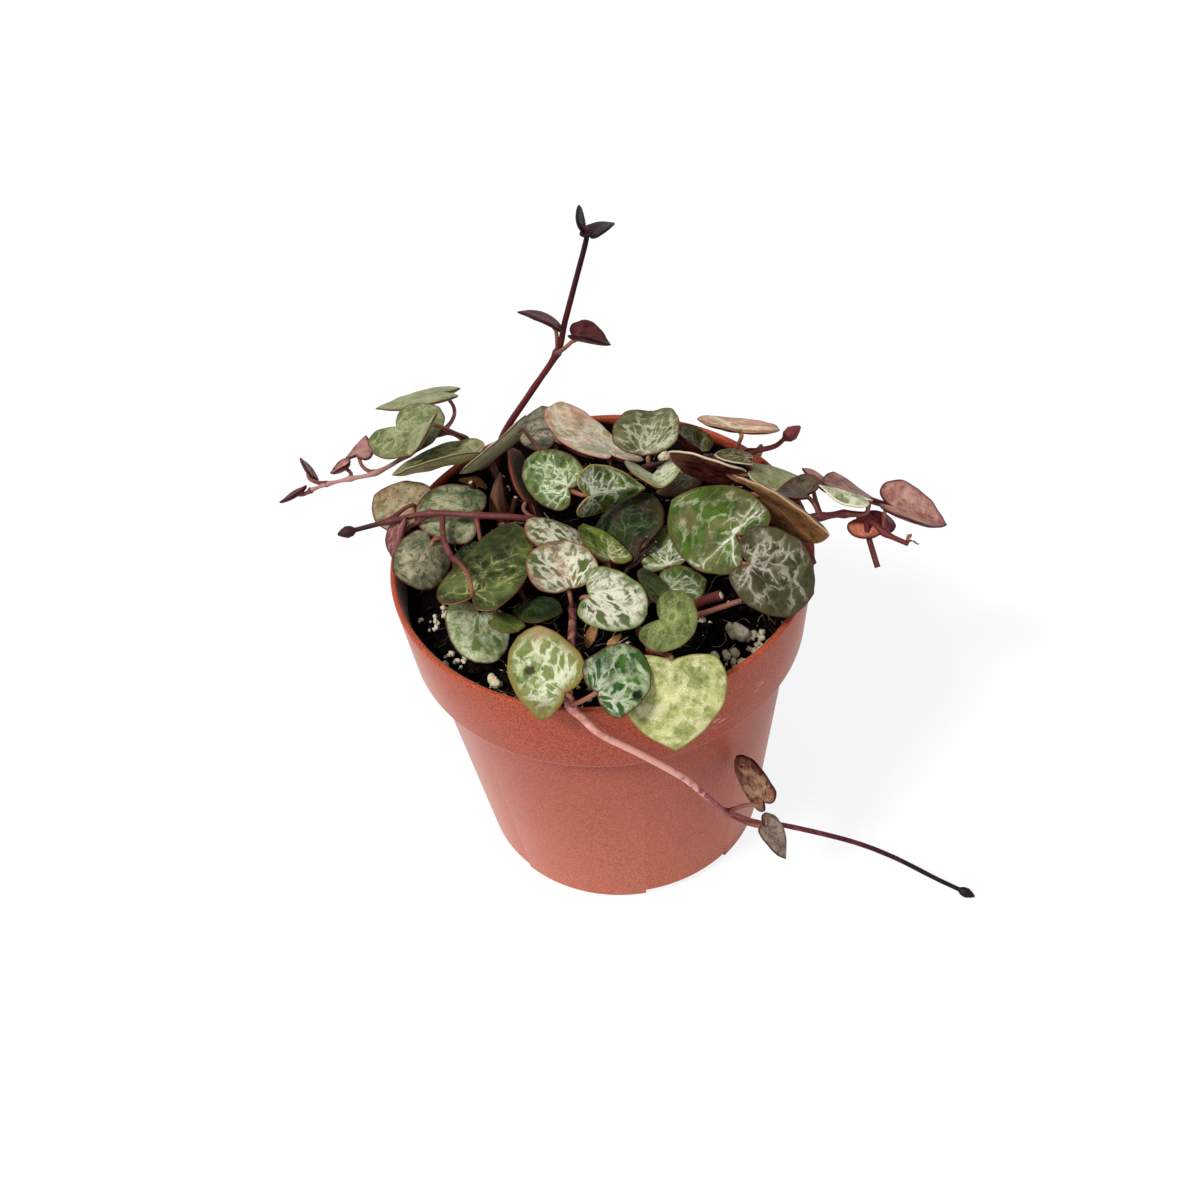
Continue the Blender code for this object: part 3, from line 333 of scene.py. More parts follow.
# leaf: the styles of its upper and under skin, changes to the upper one, and to the under one
LOOKS = {
    "crown_1": looks(CREAM, MAUVE, blush="d69680", blushing=0.25, rim="c4786c", mid="ded4b6",
        dark="a08864", pale="f0ead8", island="969a6e", net=0.5, cells=5, islands=0.25, flecks=0.5,
        spots=(((3, 12.8), 3.6, "d09482", 0.55), ((-2, 1.8), 3, "708054", 0.6))),
    "crown_2": looks(BEIGE, MAROON, mid="989480", dark="3a382e"),
    "crown_3": looks(DEEP, MAROON, mid="544838", dark="221e16", rim="aa6052", margin="966254",
        margin_share=0.8, margin_width=1.8),
    "crown_4": looks(NETTED, UNDERSIDE, mid="5c703a", pale="c4ccac", net=0.55, girth=0.12),
    "crown_5": looks(NETTED, UNDERSIDE, rim="968c54", margin="604a30"),
    "crown_6": looks(NETTED, UNDERSIDE, mid="bec492", dark="74804a", blotch=0.5),
    "crown_7": looks(OLIVE, MAROON, blush="7e3c30", blushing=0.5),
    "crown_8": looks(NETTED, MAROON, mid="74724e", dark="3a3c1c", pale="bebca4"),
    "back_right_1": looks(OLIVE, MAROON, rim="cebea0", under=dict(mid="683e36", rim="d6c4aa",
        rim_share=1)),
    "back_right_2": looks(OLIVE, MAROON),
    "back_right_3": looks(UNDERSIDE, UNDERSIDE, dark="96644c", mid="ceb492", pale="ece2ba",
        tree=0.9, girth=0.6, mains=4, net=0.3, blush="c4867a", blushing=0.7, rim="703c34"),
    "back_right_4": looks(OLIVE, MAROON, rim="c8c0a8"),
    "back_right_5": looks(SAGE, UNDERSIDE, rim="cec6a8"),
    "right_1": looks(OLIVE, UNDERSIDE, rim="cebe9e", under=dict(dark="563e26", mid="9e7e58",
        blush="b87460", blushing=0.4, rim="c48c74", flecks=0.4)),
    "right_2": looks(OLIVE, MAROON, mid="54483c", dark="2a201c", tree=0.1, net=0.1),
    "right_3": looks(MAUVE, MAUVE, mid="c48680"),
    "right_4": looks(MAUVE, MAUVE, mid="966c62", dark="54362e"),
    "right_5": looks(SAGE, UNDERSIDE, rim="e2dac8", mid="babe9c", pale="e2e2cc", blotch=0.7,
        rim_share=1),
    "right_6": looks(MAUVE, MAUVE, mid="dc9276", dark="a65848"),
    "right_7": looks(MAUVE, MAUVE, mid="a04e64", dark="602234"),
    "right_8": looks(MAUVE, MAUVE, mid="b68c80", dark="845450", pale="d2b0a2"),
    "left_back_1": looks(SAGE, SAGE, mid="96966e"),
    "left_back_2": looks(SAGE, SAGE, mid="767c50", dark="4e562e", net=0.35, tree=0.55),
    "left_back_3": looks(SAGE, SAGE, mid="90946c", rim="6e483c"),
    "left_back_4": looks(MAUVE, MAUVE, mid="ac867e"),
    "left_back_5": looks(MAUVE, MAUVE, mid="b0847c"),
    "left_back_6": looks(MAUVE, MAUVE, mid="704642"),
    "left_back_7": looks(MAROON, MAROON),
    "left_1": looks(SAGE, SAGE, mid="7e7e52", dark="484c26", net=0.3, rim="b0ac84",
        under=dict(mid="a6a27a", dark="7a7652")),
    "left_2": looks(SAGE, SAGE, mid="d2d0b6", dark="acac8a", pale="e4e2ce", flecks=0,
        under=dict(mid="c8c6a8", dark="a0a07c")),
    "left_3": looks(BEIGE, MAROON, mid="b09c84", dark="5c6034", rim="602c22", blush="965448",
        blushing=0.25, under=dict(mid="70423c", dark="421e1c")),
    "left_4": looks(BEIGE, MAUVE, mid="b2b090", dark="42502e", margin="603832", margin_share=0.6,
        blush="2c482e", blushing=0.7, flecks=0.8),
    "left_5": looks(BEIGE, MAUVE, mid="9e967c", dark="384026", blush="304634", blushing=0.6,
        flecks=0.8),
    "left_6": looks(MAUVE, MAUVE, mid="6e443e"),
    "left_7": looks(DEEP, MAROON),
    # front_left_1's dark spot near its tip is painted shade, and its two pale green spots at the
    # lobes are painted light
    "front_left_1": looks(SKIN, UNDERSIDE, dark="0e1606", mid="465022", pale="c4c68c", net=0.15,
        tree=0.7, girth=0.12, blotch=0.08, blush="101808", blushing=0.6,
        spots=(((-1.5, 11), 5, "16200c", 0.6), ((-3.6, 1.2), 2.8, "70804a", 0.5),
        ((2.8, 2.4), 3, "6c7c46", 0.5))),
    "front_left_2": looks(SAGE, SAGE, mid="d0d8ac", dark="647846", pale="e6ead2", tree=0.6,
        net=0.5, islands=0.3, island="788656", flecks=0.5),
    "front_left_3": looks(PLAIN_GREEN, SAGE, mid="687646"),
    "front_left_4": looks(DEEP, MAROON, dark="0e1c0a", mid="30421e", gloss=0.35),
    "centre_1": looks(CREAM, MAROON, blush="aa786c", blushing=0.35, tree=0.9),
    "centre_2": looks(CREAM, MAUVE, mid="aca282"),
    "centre_3": looks(NETTED, SAGE, mid="70863a", dark="34481a", net=0.4, pale="d4d0a0",
        rim="6e4632"),
    "centre_4": looks(DEEP, MAROON, blush="4a2e2e", blushing=0.4, net=0.35),
    "centre_5": looks(NETTED, SAGE, dark="2e3e16", mid="768246", net=0.6),
    "centre_6": looks(SKIN, SAGE, mid="607440", net=0.35, tree=0.6),
    "centre_7": looks(DEEP, MAROON, mid="485430"),
    "centre_8": looks(PLAIN_GREEN, SAGE, dark="384222", mid="727c4c", tree=0.45, net=0.3,
        gloss=0.45, spots=(((-1, 2.1), 1.4, "a4ae76", 0.6), ((-0.9, 2), 0.8, "546232", 0.8))),
    "centre_9": looks(CREAM, SAGE, mid="c8c6ac", dark="32421c", rim="68743c", blotch=0.8,
        islands=0.42, margin="768854", margin_share=0.6),
    "front_1": looks(CREAM, SAGE, mid="9aa472", dark="485c28", rim="7c5c36", pale="d4d4b8",
        margin="766e3c", margin_share=1, margin_width=2.2, islands=0.42, island="8e945c",
        blotch=0.6, width=0.16, spots=(((-1.5, 6), 1.1, "302a12", 0.95),
        ((3.3, 8.8), 3, "9e8668", 0.6), ((-3.4, 0.8), 1.8, "624e30", 0.5))),
    "front_2": looks(NETTED, SAGE, dark="1c3c1c", mid="628642", pale="d0d6bc", island="3c682c",
        islands=0.5, blotch=0.45, width=0.2, spots=(((3, 4.3), 0.9, "080906", 0.95),
        ((-3.1, 2.6), 1.7, "16382c", 0.6))),
    "front_3": looks(LIME, SAGE, mains=3, spots=(((-3.2, 2.2), 1.7, "5c6c32", 0.6),
        ((0.4, 4.2), 1.8, "e4dca4", 0.45))),
    "broad_1": looks(BOLD, UNDERSIDE, blush="9e7c6c", blushing=0.2, rim="564a30", mains=4,
        girth=0.17, net=0.35),
    "broad_2": looks(BOLD, UNDERSIDE, dark="32321c", mid="54543a", pale="bab0a0", girth=0.16,
        rim="403224", margin="543e30"),
    "tall_1": looks(MAROON, MAROON),
    "tall_2": looks(MAROON, MAROON, mid="542c2a"),
    "tall_3": looks(BLACKISH, BLACKISH),
    "tall_4": looks(BLACKISH, BLACKISH),
    "trailing_1": looks(MAUVE, MAUVE, mid="866252", dark="280e10", pale="c4a486", blotch=0.5,
        flecks=0.8),
    "trailing_2": looks(SAGE, MAUVE, mid="988072", dark="482c28", rim="462222", pale="c4b6a0",
        blotch=0.5, flecks=0.7),
}

# ---- small things that the solids leave out ------------------------------------------------
# A dry, papery sheath that stands in the soil: its spine and its radius at each point.
SHEATH_SPINE = ((-14.4, 12.4, 51.1), (-14.2, 12.4, 54.0), (-13.8, 12.4, 57.0),
                (-13.2, 12.3, 59.6))
SHEATH_RADII = (1.5, 1.3, 0.8, 0.15)
SHEATH_SIDES = 20
SHEATH_RIDGES = 5
RIDGE_HEIGHT = 0.1  # as a share of the radius
# grains of grit and clusters of crumbs: (x, y), how far they spread, how many, sizes
GRAINS = (
    ((17.2, -16.2), 0.5, 1, (3.4, 3.6)), ((16.6, -14.4), 0.9, 3, (1.2, 2.2)),
    ((15.2, -20.6), 2.2, 26, (0.5, 1.6)), ((19.8, -17.0), 1.6, 18, (0.4, 1.2)),
    ((-16.1, -19.6), 0.8, 4, (1.0, 2.2)), ((-22.6, -4.6), 1.4, 8, (0.5, 1.4)),
    ((-21.2, -14.2), 1.8, 14, (0.4, 1.1)), ((11.4, 22.4), 1.8, 12, (0.6, 1.7)),
    ((-6.0, -24.6), 2.4, 14, (0.3, 0.9)), ((-25.0, -7.0), 1.6, 12, (0.3, 0.9)))
GRAIN_FINENESS = 7
GRAIN_ROUGHNESS = 0.42
GRAIN_SQUASH = 0.65
FIBRE_COUNT = 260
FIBRE_POINTS = 6
FIBRE_SIDES = 6
FIBRE_STRIDE = (0.5, 1.3)
FIBRE_WANDER = 0.7
FIBRE_LIFT = (0.05, 0.55)
FIBRE_RADIUS = (0.04, 0.085)
# cut or broken stems: points, radius at each end, skin, and how far along its skin's colours
SNAGS = (
    (((11.5, -13.2, 53.0), (12.6, -14.4, 56.2), (15.2, -15.3, 58.0)), (0.55, 0.72), "stem", 0.25),
    (((8.2, -14.8, 51.0), (10.8, -15.6, 54.4), (14.2, -15.5, 55.6), (17.8, -15.3, 56.6)),
     (0.5, 0.36), "stalk", 0.75),
    (((2.0, -7.5, 52.0), (3.4, -6.0, 55.6), (7.6, -3.4, 57.6)), (0.4, 0.26), "twig", 0.4),
    (((3.6, -5.8, 55.6), (4.6, -6.6, 56.8), (5.8, -6.4, 58.2)), (0.3, 0.16), "twig", 0.4),
    (((5.0, -5.0, 56.6), (5.4, -4.0, 58.0), (6.4, -3.6, 59.0)), (0.26, 0.14), "twig", 0.4),
    (((-14.0, 9.5, 50.0), (-12.4, 9.0, 54.0), (-11.4, 9.6, 57.0)), (0.6, 0.4), "twig", 0.4),
    (((-17.6, 12.4, 50.0), (-17.0, 12.8, 54.0), (-17.8, 13.2, 57.6)), (0.6, 0.5), "twig", 0.4))
PITH_LENGTH = (0.02, 0.09)
PITH_WIDTH = (0.7, 0.6)
# dried bracts and bits of leaf: place, heading, pitch, length, width
BRACTS = (
    ((-3.2, -17.6, 53.0), 60, 35, 3.6, 1.5), ((-0.4, -18.2, 52.8), 20, 50, 2.8, 1.2),
    ((13.7, 23.6, 53.6), 100, 20, 3.0, 1.6), ((24.6, 15.8, 53.4), 70, 40, 2.8, 1.4),
    ((-24.1, 5.2, 55.6), 200, 10, 2.6, 0.9), ((42.3, -5.0, 54.0), 62, -14, 3.2, 0.7),
    ((42.4, -5.2, 53.9), 28, -20, 2.4, 0.6), ((-19.0, 9.0, 51.4), 120, 30, 4.2, 1.8),
    ((-20.5, 13.5, 52.4), 40, 25, 4.6, 2.2), ((-16.0, 17.0, 52.6), 160, 20, 4.4, 2.0))
BRACT_THICKNESS = 0.09
BRACT_WAVE = 0.35  # how far a bract bends to and fro
BRACT_CURL = 0.5
BRACT_STEPS = 10
BRACT_SIDES = 6


def tone(code):
    """A screen colour in the linear values that shaders take."""
    shares = [value / 255 for value in bytes.fromhex(code)]
    return (*(share / 12.92 if share <= 0.04045 else ((share + 0.055) / 1.055) ** 2.4
              for share in shares), 1.0)


# ---- materials -----------------------------------------------------------------------------
class Shader:
    """The node tree of a material or world, with short names for the nodes it uses most."""

    def __init__(self, owner):
        self.owner = owner
        owner.use_nodes = True
        self.tree = owner.node_tree
        self.tree.nodes.clear()

    def add(self, kind, inputs=None, **settings):
        node = self.tree.nodes.new("ShaderNode" + kind)
        for key, value in settings.items():
            setattr(node, key, value)
        for key, value in (inputs or {}).items():
            if isinstance(value, bpy.types.NodeSocket):
                self.tree.links.new(value, node.inputs[key])
            else:
                node.inputs[key].default_value = value
        return node

    def math(self, operation, first, second):
        return self.add("Math", {0: first, 1: second}, operation=operation).outputs[0]

    def plus(self, first, second):
        return self.math("ADD", first, second)

    def times(self, first, second):
        return self.math("MULTIPLY", first, second)

    def mix(self, share, first, second):
        return self.add("Mix", {0: share, 6: first, 7: second}, data_type="RGBA").outputs[2]

    def rise(self, value, low, high, bottom=0.0, top=1.0):
        return self.add("MapRange", {0: value, 1: low, 2: high, 3: bottom, 4: top},
                        interpolation_type="SMOOTHSTEP").outputs[0]

    def mark(self, name):
        return self.add("Attribute", attribute_name=name).outputs["Fac"]

    def plane(self, name):
        return self.add("UVMap", uv_map=name).outputs[0]

    def place(self):
        return self.add("TexCoord").outputs["Object"]

    def shift(self, vector, scale, offset=(0, 0, 0)):
        return self.add("VectorMath", {0: vector, 1: scale, 2: offset},
                        operation="MULTIPLY_ADD").outputs[0]

    def distance(self, vector, place):
        return self.add("VectorMath", {0: vector, 1: place},
                        operation="DISTANCE").outputs["Value"]

    def noise(self, vector, scale, detail=3.0, roughness=0.55, distortion=0.0, output=0):
        return self.add("TexNoise", {"Vector": vector, "Scale": scale, "Detail": detail,
                                     "Roughness": roughness,
                                     "Distortion": distortion}).outputs[output]

    def warp(self, vector, scale, amount):
        wander = self.noise(vector, scale, 2.0, output=1)
        centred = self.shift(wander, (1, 1, 1), (-0.5, -0.5, -0.5))
        return self.shift(centred, (amount, amount, amount), vector)

    def voronoi(self, vector, feature, output):
        return self.add("TexVoronoi", {"Vector": vector, "Scale": 1.0, "Randomness": 0.95},
                        voronoi_dimensions="2D", feature=feature).outputs[output]

    def close(self, colour, roughness, height, strength, depth, **fixed):
        shader = self.add("BsdfPrincipled", {"Base Color": colour, "Roughness": roughness,
                                             **{key.replace("_", " "): value
                                                for key, value in fixed.items()}})
        bump = self.add("Bump", {"Height": height, "Strength": strength,
                                 "Distance": depth * MM})
        self.tree.links.new(bump.outputs[0], shader.inputs["Normal"])
        self.add("OutputMaterial", {0: shader.outputs[0]})
        return self.owner


def skin_material(name, look):
    """A blade's skin.  Its mesh says how far each point is from a vein and from the rim."""
    draw = random.Random(name)
    offset = (draw.uniform(0, 50), draw.uniform(0, 50), 0.0)
    s = Shader(bpy.data.materials.new(name))
    flat = s.shift(s.plane("blade"), (1, 1, 1), offset)
    dark, mid, pale = (tone(look[key]) for key in ("dark", "mid", "pale"))
    coarse = s.noise(flat, 0.32, 3.0, 0.6, distortion=0.5)
    uneven = s.noise(flat, 1.1, 4.0, 0.65)
    grain = s.noise(flat, 6.5, 3.0, 0.75)
    ragged = s.times(s.plus(uneven, -0.5), 0.45)

    shade = s.plus(s.times(coarse, 0.6), s.times(uneven, 0.45))
    colour = s.mix(s.rise(shade, 0.38, 0.66), dark, mid)
    if look["blotch"]:
        mottle = s.noise(s.warp(flat, 0.7, 1.6), 0.5)
        colour = s.mix(s.rise(mottle, 0.47, 0.62, 0.0, look["blotch"]), colour, pale)

    # the fine net is made of cells that are long along the veins, and it comes and goes
    fan = s.warp(s.shift(s.plane("fan"), (look["cells"], look["ring"], 0), offset), 1.1, 1.1)
    gap = s.voronoi(fan, "DISTANCE_TO_EDGE", "Distance")
    width = s.times(s.rise(uneven, 0.35, 0.7, 0.3, 1.7), look["width"])
    net = s.rise(s.math("DIVIDE", gap, width), 0.45, 1.0, 1.0, 0.0)
    cover = s.math("MAXIMUM", s.rise(coarse, 0.42, 0.6, 0.15, 1.0),
                   s.rise(s.mark("vein"), 0.3, 1.5, 1.0, 0.0))
    cover = s.times(cover, s.rise(s.mark("edge"), 0.2, 1.4, 0.3, 1.0))
    net = s.times(net, s.times(cover, look["net"]))

    off = s.plus(s.mark("vein"), ragged)
    broken = s.rise(s.noise(flat, 0.6, 2.0), 0.34, 0.5, 0.25, 1.0)
    core = s.times(s.rise(off, -0.05, 0.1, 1.0, 0.0), s.times(broken, look["tree"]))
    halo = s.rise(off, 0.0, 0.5, 0.16 * look["tree"], 0.0)
    veins = s.math("MAXIMUM", s.math("MAXIMUM", net, halo), core)
    colour = s.mix(veins, colour, pale)

    if look["islands"]:
        chance = s.add("SeparateColor", {0: s.voronoi(fan, "F1", "Color")}).outputs[0]
        island = s.rise(chance, 1 - look["islands"], 1.1 - look["islands"], 0.0, 0.9)
        shore = s.plus(gap, s.times(s.plus(grain, -0.5), 0.2))
        colour = s.mix(s.times(island, s.rise(shore, 0.1, 0.24)), colour,
                       s.mix(uneven, dark, tone(look["island"])))
    if look["flecks"]:
        flecks = s.noise(fan, 2.4, 2.0, 0.6)
        colour = s.mix(s.rise(flecks, 0.57, 0.64, 0.0, look["flecks"]), colour, dark)
    if look["blushing"]:
        warm = s.noise(flat, 0.28, distortion=0.4)
        colour = s.mix(s.rise(warm, 0.44, 0.62, 0.0, look["blushing"]), colour,
                       tone(look["blush"]))
    inside = s.plus(s.mark("edge"), s.times(ragged, 1.6))
    band = s.rise(inside, 0.0, look["margin_width"], look["margin_share"], 0.0)
    colour = s.mix(band, colour, tone(look["margin"]))
    # most spots are stains; on front_left_1 they are painted shade and painted light
    for spot, reach, patch_colour, strength in look["spots"]:
        away = s.plus(s.distance(s.plane("blade"), (*spot, 0.0)), s.times(ragged, 2.0 * reach))
        colour = s.mix(s.rise(away, 0.4 * reach, reach, strength, 0.0), colour, tone(patch_colour))
    line = s.rise(s.mark("edge"), 0.06, look["rim_width"], look["rim_share"], 0.0)
    colour = s.mix(line, colour, tone(look["rim"]))
    speckled = s.add("HueSaturation", {"Value": s.rise(grain, 0.34, 0.66, 0.74, 1.22),
                                       "Saturation": 1.12, "Color": colour}).outputs[0]
    rough = s.rise(uneven, 0.25, 0.75, look["gloss"] - 0.08, look["gloss"] + 0.1)
    relief = s.plus(s.times(s.math("MINIMUM", s.mark("vein"), 0.8), 0.5),
                    s.plus(s.times(uneven, 0.5), s.times(grain, 0.2)))
    return s.close(speckled, rough, relief, 0.5, 0.3, Specular_IOR_Level=0.14)


def stem_material(name, first, changes, bloom):
    """Stem skin: its colour at the foot, then (from, to, colour) as shares of the way along."""
    s = Shader(bpy.data.materials.new(name))
    streaks = s.noise(s.place(), 900.0, 4.0)
    along = s.plus(s.mark("tone"), s.rise(streaks, 0.3, 0.7, -0.06, 0.06))
    colour = tone(first)
    for start, end, after in changes:
        colour = s.mix(s.rise(along, start, end), colour, tone(after))
    dust_and_shade = s.rise(s.noise(s.place(), 350.0, 2.0), 0.5, 0.75, 0.0, 0.3)
    dust_and_shade = s.times(dust_and_shade, s.rise(along, 0.4, 0.8, 1.0, 0.0))
    colour = s.mix(dust_and_shade, colour, tone(bloom))
    return s.close(colour, s.rise(streaks, 0.3, 0.7, 0.42, 0.6), streaks, 0.3, 0.12,
                   Specular_IOR_Level=0.2)


def pot_material():
    """Moulded terracotta-coloured plastic, speckled and scuffed, with painted shading: lighter
    towards its foot, and darkened inside as shade.
    """
    s = Shader(bpy.data.materials.new("pot_plastic"))
    place = s.place()
    grain = s.noise(place, 3800.0, 3.0, 0.75)
    cloud = s.noise(place, 60.0)
    height = s.add("SeparateXYZ", {0: place}).outputs["Z"]
    # painted shading: the plastic is lighter towards the foot and darker over the collar
    low = s.rise(height, 0.0, COLLAR_FOOT_HEIGHT * MM, 1.0, 0.0)
    colour = s.mix(s.rise(grain, 0.38, 0.62), s.mix(low, tone("7e301a"), tone("944024")),
                   s.mix(low, tone("be5636"), tone("d26a46")))
    colour = s.mix(s.rise(cloud, 0.35, 0.75, 0.0, 0.3), colour, tone("be6246"))
    dust = s.rise(s.noise(place, 1500.0, 1.0), 0.7, 0.76, 0.0, 0.6)
    colour = s.mix(dust, colour, tone("6e2e22"))
    streaks = s.noise(s.shift(place, SCUFF_STRETCH), 1700.0, 2.0)
    for centre, reach in SCUFFS:
        away = s.distance(place, [value * MM for value in centre])
        scuff = s.times(s.rise(away, 0.3 * reach * MM, reach * MM, 1.0, 0.0),
                        s.rise(streaks, 0.56, 0.6, 0.0, 0.85))
        colour = s.mix(scuff, colour, tone("e8b89e"))
    # painted shade: the inner wall darkens with its depth below the rim
    depth = s.plus(s.mark("tone"), s.rise(cloud, 0.3, 0.7, -0.6, 0.6))
    colour = s.mix(s.rise(depth, 0.4, 1.4), colour, tone("100907"))
    return s.close(colour, s.rise(grain, 0.3, 0.7, 0.42, 0.55), grain, 0.2, 0.08,
                   Specular_IOR_Level=0.2, Sheen_Weight=1.0, Sheen_Roughness=0.26,
                   Sheen_Tint=tone("ffe2d6"))


def peat_material(name, dark, light, rough=0.95):
    s = Shader(bpy.data.materials.new(name))
    lumps = s.noise(s.place(), 700.0, 5.0, 0.7)
    colour = s.mix(s.rise(lumps, 0.4, 0.75), tone(dark), tone(light))
    return s.close(colour, rough, s.noise(s.place(), 1400.0, 4.0), 0.9, 0.5,
                   Specular_IOR_Level=0.05)


def sheath_material():
    s = Shader(bpy.data.materials.new("dry_sheath"))
    fibres = s.noise(s.shift(s.place(), (1, 1, 0.12)), 2200.0)
    colour = s.mix(s.rise(s.mark("tone"), 0.0, 0.45), tone("c4783a"), tone("704c36"))
    colour = s.mix(s.rise(fibres, 0.4, 0.7, 0.0, 0.6), colour, tone("462a1e"))
    return s.close(colour, 0.7, fibres, 0.5, 0.2)


# ---- meshes --------------------------------------------------------------------------------
def put(name, data):
    """A new object with this data in the scene."""
    made = bpy.data.objects.new(name, data)
    bpy.context.scene.collection.objects.link(made)
    return made


class Piece:
    """A mesh in the making, with the values that its materials read at each point."""

    def __init__(self):
        self.points, self.faces, self.slots, self.marks, self.skins = [], [], [], [], []

    def paint(self, faces, skin, start):
        """Add faces in one skin, with corners that count from the point at start."""
        if skin not in self.skins:
            self.skins.append(skin)
        self.faces += [tuple(start + corner for corner in face) for face in faces]
        self.slots += [self.skins.index(skin)] * len(faces)

    def add(self, points, faces, skin, shades=None, marks=None):
        self.paint(faces, skin, len(self.points))
        self.points += points
        self.marks += marks or [(p[0], p[1], 0.0, 0.0, FAR, FAR, shade) for p, shade
                                in zip(points, shades or [0.0] * len(points))]

    def add_stem(self, line, radii, sides, skin, shades):
        """Add a closed round stem, with its shade at each point of its line."""
        points, faces = tube(line, radii, sides)
        self.add(points, faces, skin, [shade for shade in shades for _ in range(sides)])

    def build(self, name, slot, *nodes):
        mesh = bpy.data.meshes.new(name)
        mesh.from_pydata([Vector(p) * MM for p in self.points], [], self.faces)
        for skin in self.skins:
            mesh.materials.append(skin)
        mesh.polygons.foreach_set("material_index", self.slots)
        corners = [loop.vertex_index for loop in mesh.loops]
        for title, first in (("blade", 0), ("fan", 2)):
            layer = mesh.uv_layers.new(name=title)
            layer.data.foreach_set("uv", [value for corner in corners
                                          for value in self.marks[corner][first:first + 2]])
        for title, column in (("edge", 4), ("vein", 5), ("tone", 6)):
            layer = mesh.attributes.new(title, "FLOAT", "POINT")
            layer.data.foreach_set("value", [mark[column] for mark in self.marks])
        mesh.shade_smooth()
        mesh.update()
        made = put(name, mesh)
        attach(made, "root")
        if nodes:
            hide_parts(*nodes)
        return made


def polar(radius, angle, height=0.0):
    return Vector((radius * math.cos(angle), radius * math.sin(angle), height))


def spot_within(draw, reach):
    """A random spot on a level disc."""
    away = reach * math.sqrt(draw.random())
    return polar(away, draw.uniform(0, math.tau))


def bend(start, corner, end, t):
    """The point at t of a curve that leaves start and reaches end in the corner's directions."""
    return start * (1 - t) ** 2 + corner * 2 * t * (1 - t) + end * t * t


def catmull(points, steps):
    """Points along a smooth curve through the given ones."""
    line = [Vector(p) for p in points]
    padded = [line[0] * 2 - line[1], *line, line[-1] * 2 - line[-2]]
    out = []
    for a, b, c, d in zip(padded, padded[1:], padded[2:], padded[3:]):
        for step in range(steps):
            t = step / steps
            out.append(0.5 * (2 * b + (c - a) * t + (2 * a - 5 * b + 4 * c - d) * t * t
                              + (3 * b - 3 * c + d - a) * t * t * t))
    return [*out, line[-1]]


def ring_faces(rings):
    """Faces between rings of corners that each go once round; a ring of one is a point."""
    faces = []
    for lower, upper in zip(rings, rings[1:]):
        sides = max(len(lower), len(upper))
        lower, upper = (ring * (sides // len(ring)) for ring in (lower, upper))
        for side in range(sides):
            after = (side + 1) % sides
            corners = (lower[side], lower[after], upper[after], upper[side])
            faces.append(tuple(dict.fromkeys(corners)))
    return faces


def closed_faces(count, sides):
    """Faces of a closed tube with this many rings."""
    rings = [list(range(ring * sides, (ring + 1) * sides)) for ring in range(count)]
    return [tuple(rings[0][::-1]), *ring_faces(rings), tuple(rings[-1])]


def turned_over(faces):
    return [face[::-1] for face in faces]


def tube(line, radii, sides):
    """Points and faces of a closed round stem."""
    points = []
    along = (line[1] - line[0]).normalized()
    side = along.orthogonal().normalized()
    for index, centre in enumerate(line):
        ahead = line[min(index + 1, len(line) - 1)] - line[max(index - 1, 0)]
        side = along.rotation_difference(ahead.normalized()) @ side
        along = ahead.normalized()
        other = along.cross(side)
        for step in range(sides):
            way = polar(radii[index], math.tau * step / sides)
            points.append(centre + way.x * side + way.y * other)
    return points, closed_faces(len(line), sides)


def turned(profile, sides):
    """Points and faces of a solid turned about +Z, both ends of its profile on the axis."""
    points, rings = [], []
    for radius, height in profile:
        around = range(sides if radius else 1)
        rings.append([len(points) + side for side in around])
        points += [polar(radius, math.tau * side / sides, height) for side in around]
    return points, ring_faces(rings)


def leaf_axes(heading, pitch, roll):
    """Right, tip and upper-face directions of a blade."""
    turn, rise, bank = (math.radians(v) for v in (heading, pitch, roll))
    tip = polar(math.cos(rise), turn, math.sin(rise))
    level_up = polar(-math.sin(rise), turn, math.cos(rise))
    up = math.cos(bank) * level_up + math.sin(bank) * tip.cross(level_up)
    return tip.cross(up), tip, up


class Leaf:
    """One row of LEAF_ROWS."""

    def __init__(self, row):
        self.name, *values = row.split()
        self.vine, spring, *more = values[13:]
        values = [float(value) for value in values[:13]]
        self.place = Vector(values[:3])
        self.right, self.tip, self.up = leaf_axes(*values[3:6])
        self.length, self.width, *self.form, self.point, self.lobe = values[6:]
        self.spring = int(spring)
        self.young = "young" in more
        self.approach = [float(value) for value in more if value != "young"] or APPROACH

    def middle(self, x, y):
        """Height of the blade's middle surface over the point x, y of its own plane."""
        cup, fold, curl = self.form
        u, v = 2 * x / self.width, y / self.length
        bowl = u * u + ((v - CUP_CENTRE) / (1 - CUP_CENTRE)) ** 2
        ridge = np.sqrt(x * x + FOLD_ROUND ** 2) - FOLD_ROUND
        return (CUP_SHARE * cup * bowl + math.tan(math.radians(fold)) * ridge
                + curl * np.maximum(v - CURL_START, 0) ** 2)

    def outline(self, wobble):
        """The blade's outline as (u, v), once round from the stalk, and slightly uneven."""
        half = []
        for soft, sharp in zip(ROUND_HALF, HEART_HALF):
            x, y = (s * (1 - self.point) + h * self.point for s, h in zip(soft, sharp))
            half.append((x, y * self.lobe if y < 0 else y, 0))
        half = [p.xy for p in catmull(half, max(4, round(RIM_FINENESS * self.width)))]
        whole = half + [(-x, y) for x, y in reversed(half[1:-1])]
        phases = [wobble.uniform(0, math.tau) for _ in EDGE_WAVES]
        rim = []
        for index, (u, v) in enumerate(whole):
            around = math.tau * index / len(whole)
            swell = sum(height * math.sin(waves * around + phase)
                        for (waves, height), phase in zip(EDGE_WAVES, phases))
            scale = 1 + swell * (1 - math.cos(around) ** 8)
            rim.append((u * scale, BLADE_CENTRE + (v - BLADE_CENTRE) * scale))
        return rim


